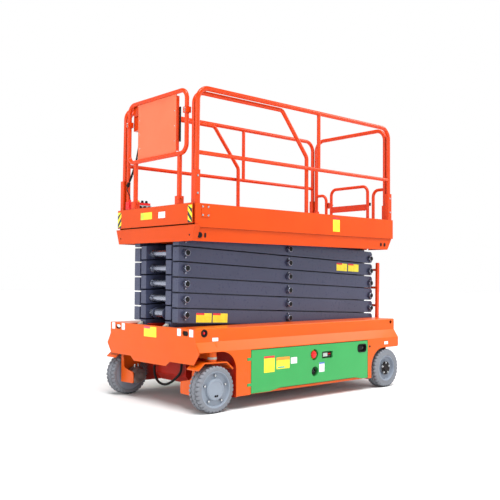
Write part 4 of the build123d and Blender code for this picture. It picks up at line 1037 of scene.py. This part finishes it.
def buildPins(work, level):
    # Rear, middle and front pin on both sides; the lowest rear head stays short, inside the well
    rearZ = stack["baseZ"] + (level - 1) * stack["pitch"]
    rearReach = pin["lowestReach"] if level == 1 else pin["rearReach"]
    spots = ((stack["rearX"], rearZ, rearReach, -1), (midX, rearZ + stack["pitch"] / 2, pin["reach"], 1),
             (frontX, rearZ + stack["pitch"], pin["reach"], -1))
    wide = pin["radius"]
    for side, _ in bothSides:
        out = (0, side, 0)
        for x, z, reach, way in spots:
            centre = Vector((x, side * pin["y"], z))
            lathe(work, [(0, -0.002), (wide, -0.002), (wide, reach - 0.002), (wide - 0.002, reach),
                         (wide - 0.005, reach), (0, reach)], centre, out, 40)
            lathe(work, [(0, 0), (wide - 0.0045, 0), (wide - 0.006, 0.0015), (0.004, 0.002), (0.003, 0.0005),
                         (0, 0.0005)], centre + Vector((0, reach * side, 0)), out, 40, 1)
            keeper = (x + pin["keeperX"], side * pin["keeperY"], z + way * pin["keeperZ"])
            hexBolt(work, keeper, out, pin["keeperSize"])


for level in range(1, stack["levels"] + 1):
    piece(f"pin_caps_{level}", lambda work, level=level: buildPins(work, level), [tubeSteel, plasticBlack],
          f"outer_{level}", smooth=35)

sleeve = {"inner": 0.0282, "outer": 0.0290, "end": 0.148, "gap": 0.080, "thickInner": 0.0382,
          "thickOuter": 0.0390, "thickHalf": 0.069, "boltX": 0.0345, "boltY": 0.1385,
          "collar": [(0.029, 0.128), (0.0345, 0.129), (0.0345, 0.1485), (0.029, 0.1485)]}


def buildSleeve(work, level):
    # Ground tube over the front cross tie, with a collar at each end; the second tie has a thicker middle
    spot, across = (frontX, 0, stack["baseZ"] + (level - 1) * stack["pitch"]), (0, 1, 0)
    inner, outer, end = sleeve["inner"], sleeve["outer"], sleeve["end"]
    if level == 2:
        gap, half, wide = sleeve["gap"], sleeve["thickHalf"], sleeve["thickOuter"]
        lathe(work, [(inner, gap - 0.002), (outer, gap), (outer, end - 0.001), (inner, end)], spot, across)
        lathe(work, [(inner, gap), (outer, gap + 0.001), (outer, end - 0.001), (inner, end)],
              spot, (0, -1, 0))
        lathe(work, [(sleeve["thickInner"], -half), (wide, 0.001 - half), (wide, half - 0.001),
                     (sleeve["thickInner"], half)], spot, across)
    else:
        lathe(work, [(inner, -end), (outer, 0.001 - end), (outer, end - 0.001), (inner, end)], spot, across)
    for side, _ in bothSides:
        lathe(work, sleeve["collar"], spot, (0, side, 0), 40)
        hexBolt(work, Vector(spot) + Vector((sleeve["boltX"], side * sleeve["boltY"], 0)), ahead, 0.010)


for level in range(2, stack["levels"] + 1):
    piece(f"cross_sleeve_{level}", lambda work, level=level: buildSleeve(work, level), tubeSteel,
          f"inner_{level}", smooth=35)
print("pin caps made")


# Platform fittings
postBolts = {"x": 1.277, "y": 0.335, "z": 1.681, "half": 0.0345, "hookX": 1.307, "hookY": 0.4395,
             "hookZ": (2.484, 2.506)}


def buildPostBolts(work):
    for side, _ in bothSides:
        for way in (1, -1):
            spot = (postBolts["x"], side * postBolts["y"] + way * postBolts["half"], postBolts["z"])
            hexBolt(work, spot, (0, way, 0), 0.016)
    for side, _ in bothSides:
        for z in postBolts["hookZ"]:
            hexBolt(work, (postBolts["hookX"], side * postBolts["hookY"], z), ahead, 0.012)


piece("front_post_bolts", buildPostBolts, zincPlate, "extension", smooth=35)
edgeStrip = {"spot": (1.250, 0.296, 2.400), "width": 0.012, "height": 0.300}


def buildEdgeStrip(work):
    # Rubbing strip on the front panel's edge
    prism(work, rounded(edgeStrip["width"], edgeStrip["height"], 0.004), edgeStrip["spot"], left, 0.010)


piece("document_edge_strip", buildEdgeStrip, plasticBlack, "extension")

skirt = {"x": 1.230, "z": 1.446, "slotX": 1.173, "rear": (-1.151, -1.211), "lean": 0.0469,
         "footY": 0.556, "footZ": 1.396,
         "plug": [(0, -0.006), (0.0195, -0.006), (0.0195, 0.001), (0.0245, 0.0015), (0.0235, 0.006),
                  (0.012, 0.007), (0.010, 0.004), (0, 0.004)]}


def buildSkirtPlugs(work):
    # One round, one oblong and two oval plugs on each sloping side skirt
    for side, _ in bothSides:
        out = Vector((0, side * math.cos(skirt["lean"]), -math.sin(skirt["lean"])))
        y = side * (skirt["footY"] + (skirt["z"] - skirt["footZ"]) * math.tan(skirt["lean"]))
        lathe(work, skirt["plug"], (skirt["x"], y, skirt["z"]), out, 40)
        prism(work, rounded(0.017, 0.040, 0.0083, 6), (skirt["slotX"], y, skirt["z"]), out, 0.004)
        for x in skirt["rear"]:
            prism(work, rounded(0.024, 0.036, 0.0118, 6), (x, y, skirt["z"]), out, 0.004)


piece("skirt_plugs", buildSkirtPlugs, plasticBlack, "platform", smooth=40)

gateLatch = {"x": -1.318, "y": 0.252, "z": 1.900, "cap": [(0, 0), (0.011, 0), (0.009, 0.004), (0, 0.004)]}
behind = (-1, 0, 0)


def buildGateLatch(work):
    x, y, z = gateLatch["x"], gateLatch["y"], gateLatch["z"]
    prism(work, rounded(0.050, 0.036, 0.008), (x, y, z), behind, 0.022)
    prism(work, rounded(0.016, 0.070, 0.006), (x, y - 0.052, z - 0.034), behind, 0.006)
    lathe(work, gateLatch["cap"], (x - 0.022, y, z), behind, 24, 1)


piece("gate_latch", buildGateLatch, [plasticBlack, zincPlate], "gate", bevel=0.0015)

toePlate = {"x": 1.186, "y": 0.575, "z": 1.646, "width": 0.084, "height": 0.100, "thick": 0.004,
            "boltX": 0.029, "boltZ": 0.035, "boltSize": 0.013}


def buildToePlates(work):
    # Bolted joint plates behind the front corners of the side toe boards
    for side, _ in bothSides:
        base, facing = Vector((toePlate["x"], side * toePlate["y"], toePlate["z"])), (0, side, 0)
        prism(work, rounded(toePlate["width"], toePlate["height"], 0.003), base, facing, toePlate["thick"])
        for x in (-toePlate["boltX"], toePlate["boltX"]):
            for z in (-toePlate["boltZ"], toePlate["boltZ"]):
                spot = base + Vector((x, side * toePlate["thick"], z))
                hexBolt(work, spot, facing, toePlate["boltSize"], 1)


piece("toe_board_plates", buildToePlates, [deckOrange, zincPlate], "platform", bevel=0.0006)
sticker("toe_sticker_yellow", "platform", (-0.438, toePlate["y"], 1.617), left, (0.098, 0.138),
        plain(filmYellow) + [(filmRed, 0, 1, 0.84, 1)])

closer = {"spot": (-1.317, -0.346, 1.924), "arm": (-1.318, -0.300, 1.924), "armSize": (0.090, 0.018),
          "body": [(0, 0), (0.034, 0), (0.034, 0.012), (0.030, 0.018), (0.012, 0.020), (0.010, 0.016),
                   (0, 0.016)]}


def buildGateCloser(work):
    # Round spring closer on the gate's hinge side, and its arm
    lathe(work, closer["body"], closer["spot"], behind, 40)
    prism(work, rounded(*closer["armSize"], 0.006), closer["arm"], behind, 0.006)


piece("gate_closer", buildGateCloser, plasticBlack, "platform", smooth=40, bevel=0.0008)
sticker("gate_tag_white", "gate", (-1.3052, 0.133, 1.868), behind, (0.070, 0.050), plain(filmWhite))

rivet = {"x": 1.286, "ys": (0.268, -0.268), "zs": (2.255, 2.385, 2.515),
         "profile": [(0.0055, 0), (0.005, 0.0018), (0.002, 0.0026), (0, 0.0027)]}


def buildPanelRivets(work):
    for z in rivet["zs"]:
        for y in rivet["ys"]:
            lathe(work, rivet["profile"], (rivet["x"], y, z), ahead, 20)


piece("panel_rivets", buildPanelRivets, zincPlate, "extension", smooth=60)

# Outlets as x and material; plugs stand on the box's top and lids on its inner side
outlets = {"tops": ((1.085, 1), (1.130, 1), (1.175, 2), (1.215, 3)), "topY": -0.4485, "topZ": 1.786,
           "lids": (1.075, 1.125, 1.175, 1.225), "lidY": -0.4155, "plateY": -0.4183, "lidZ": 1.738,
           "plug": [(0.016, 0), (0.016, 0.006), (0.012, 0.008), (0.012, 0.020), (0.009, 0.024), (0, 0.024)],
           "lid": [(0.019, 0), (0.019, 0.007), (0.015, 0.010), (0, 0.010)]}


def buildOutletFittings(work):
    for x, kind in outlets["tops"]:
        lathe(work, outlets["plug"], (x, outlets["topY"], outlets["topZ"]), above, 28, kind)
    prism(work, rounded(0.200, 0.050, 0.006), (1.150, outlets["plateY"], outlets["lidZ"]), left, 0.003)
    for x in outlets["lids"]:
        lathe(work, outlets["lid"], (x, outlets["lidY"], outlets["lidZ"]), left, 28, 1)


piece("outlet_fittings", buildOutletFittings, [zincPlate, plasticBlack, filmYellow, filmBlue], "extension",
      smooth=35)

trackStop = {"y": 0.194, "postY": 0.012, "postZ": 0.548, "postWide": 0.024,
             "padY": 0.020, "padZ": 0.678, "padWide": 0.040,
             "post": [(1.288, 0.0), (1.318, 0.0), (1.318, 0.130), (1.288, 0.130)],
             "pad": [(1.286, 0.0), (1.320, 0.0), (1.320, 0.006), (1.292, 0.024), (1.286, 0.024)]}


def buildTrackStops(work):
    # Nylon stops on brackets that stand on the long beams, ahead of the inner arms
    for side, _ in bothSides:
        for part, material in (("post", 1), ("pad", 0)):
            spot = (0, side * trackStop["y"] + trackStop[part + "Y"], trackStop[part + "Z"])
            prism(work, trackStop[part], spot, (0, -1, 0), trackStop[part + "Wide"], material=material)


piece("track_stops", buildTrackStops, [nylonWhite, frameRed], "chassis", bevel=0.001)

# Operator's face of the control box; places are y and z from its middle
controls = {"face": (1.133, -0.370, 2.515), "plate": (0.104, 0.132), "window": (0.044, 0.024), "lift": 0.003,
            "lever": [(0.024, 0), (0.022, 0.010), (0.012, 0.022), (0.0065, 0.026), (0.0065, 0.060),
                      (0.013, 0.066), (0.015, 0.084), (0.011, 0.094), (0, 0.096)],
            "leverSpot": (0.020, -0.022),
            "stop": [(0.016, 0), (0.016, 0.006), (0.020, 0.009), (0.020, 0.016), (0, 0.018)],
            "stopSpot": (-0.026, -0.030), "windowSpot": (0, 0.042), "switches": 3, "switchPitch": 0.022,
            "switch": [(0.006, 0), (0.006, 0.003), (0.003, 0.004), (0.003, 0.014), (0, 0.015)]}


def buildControls(work):
    # Lever in its boot, stop button, switch row and a small window
    face = Vector(controls["face"])

    def onFace(y, z):
        return face + Vector((-controls["lift"], y, z))

    prism(work, rounded(*controls["plate"], 0.008), face, behind, controls["lift"])
    lathe(work, controls["lever"], onFace(*controls["leverSpot"]), behind, 32)
    lathe(work, controls["stop"], onFace(*controls["stopSpot"]), behind, 32, 1)
    window = rounded(*controls["window"], 0.003)
    prism(work, window, onFace(*controls["windowSpot"]), behind, 0.001, material=2)
    for k in range(controls["switches"]):
        lathe(work, controls["switch"], onFace(-0.030 + controls["switchPitch"] * k, 0.012), behind, 16, 3)


piece("control_face", buildControls, [plasticBlack, plasticRed, screenGrey, zincPlate], "extension",
      smooth=40)

socketBolts = {"y": 0.5705, "xs": (1.264, -1.290), "zs": (1.790, 1.935), "size": 0.014}


def buildSocketBolts(work):
    # Through bolts of the folding rails' sockets
    for side, _ in bothSides:
        for x in socketBolts["xs"]:
            for z in socketBolts["zs"]:
                hexBolt(work, (x, side * socketBolts["y"], z), (0, side, 0), socketBolts["size"])


piece("rail_socket_bolts", buildSocketBolts, zincPlate, "platform", smooth=35)
print("platform fittings made")
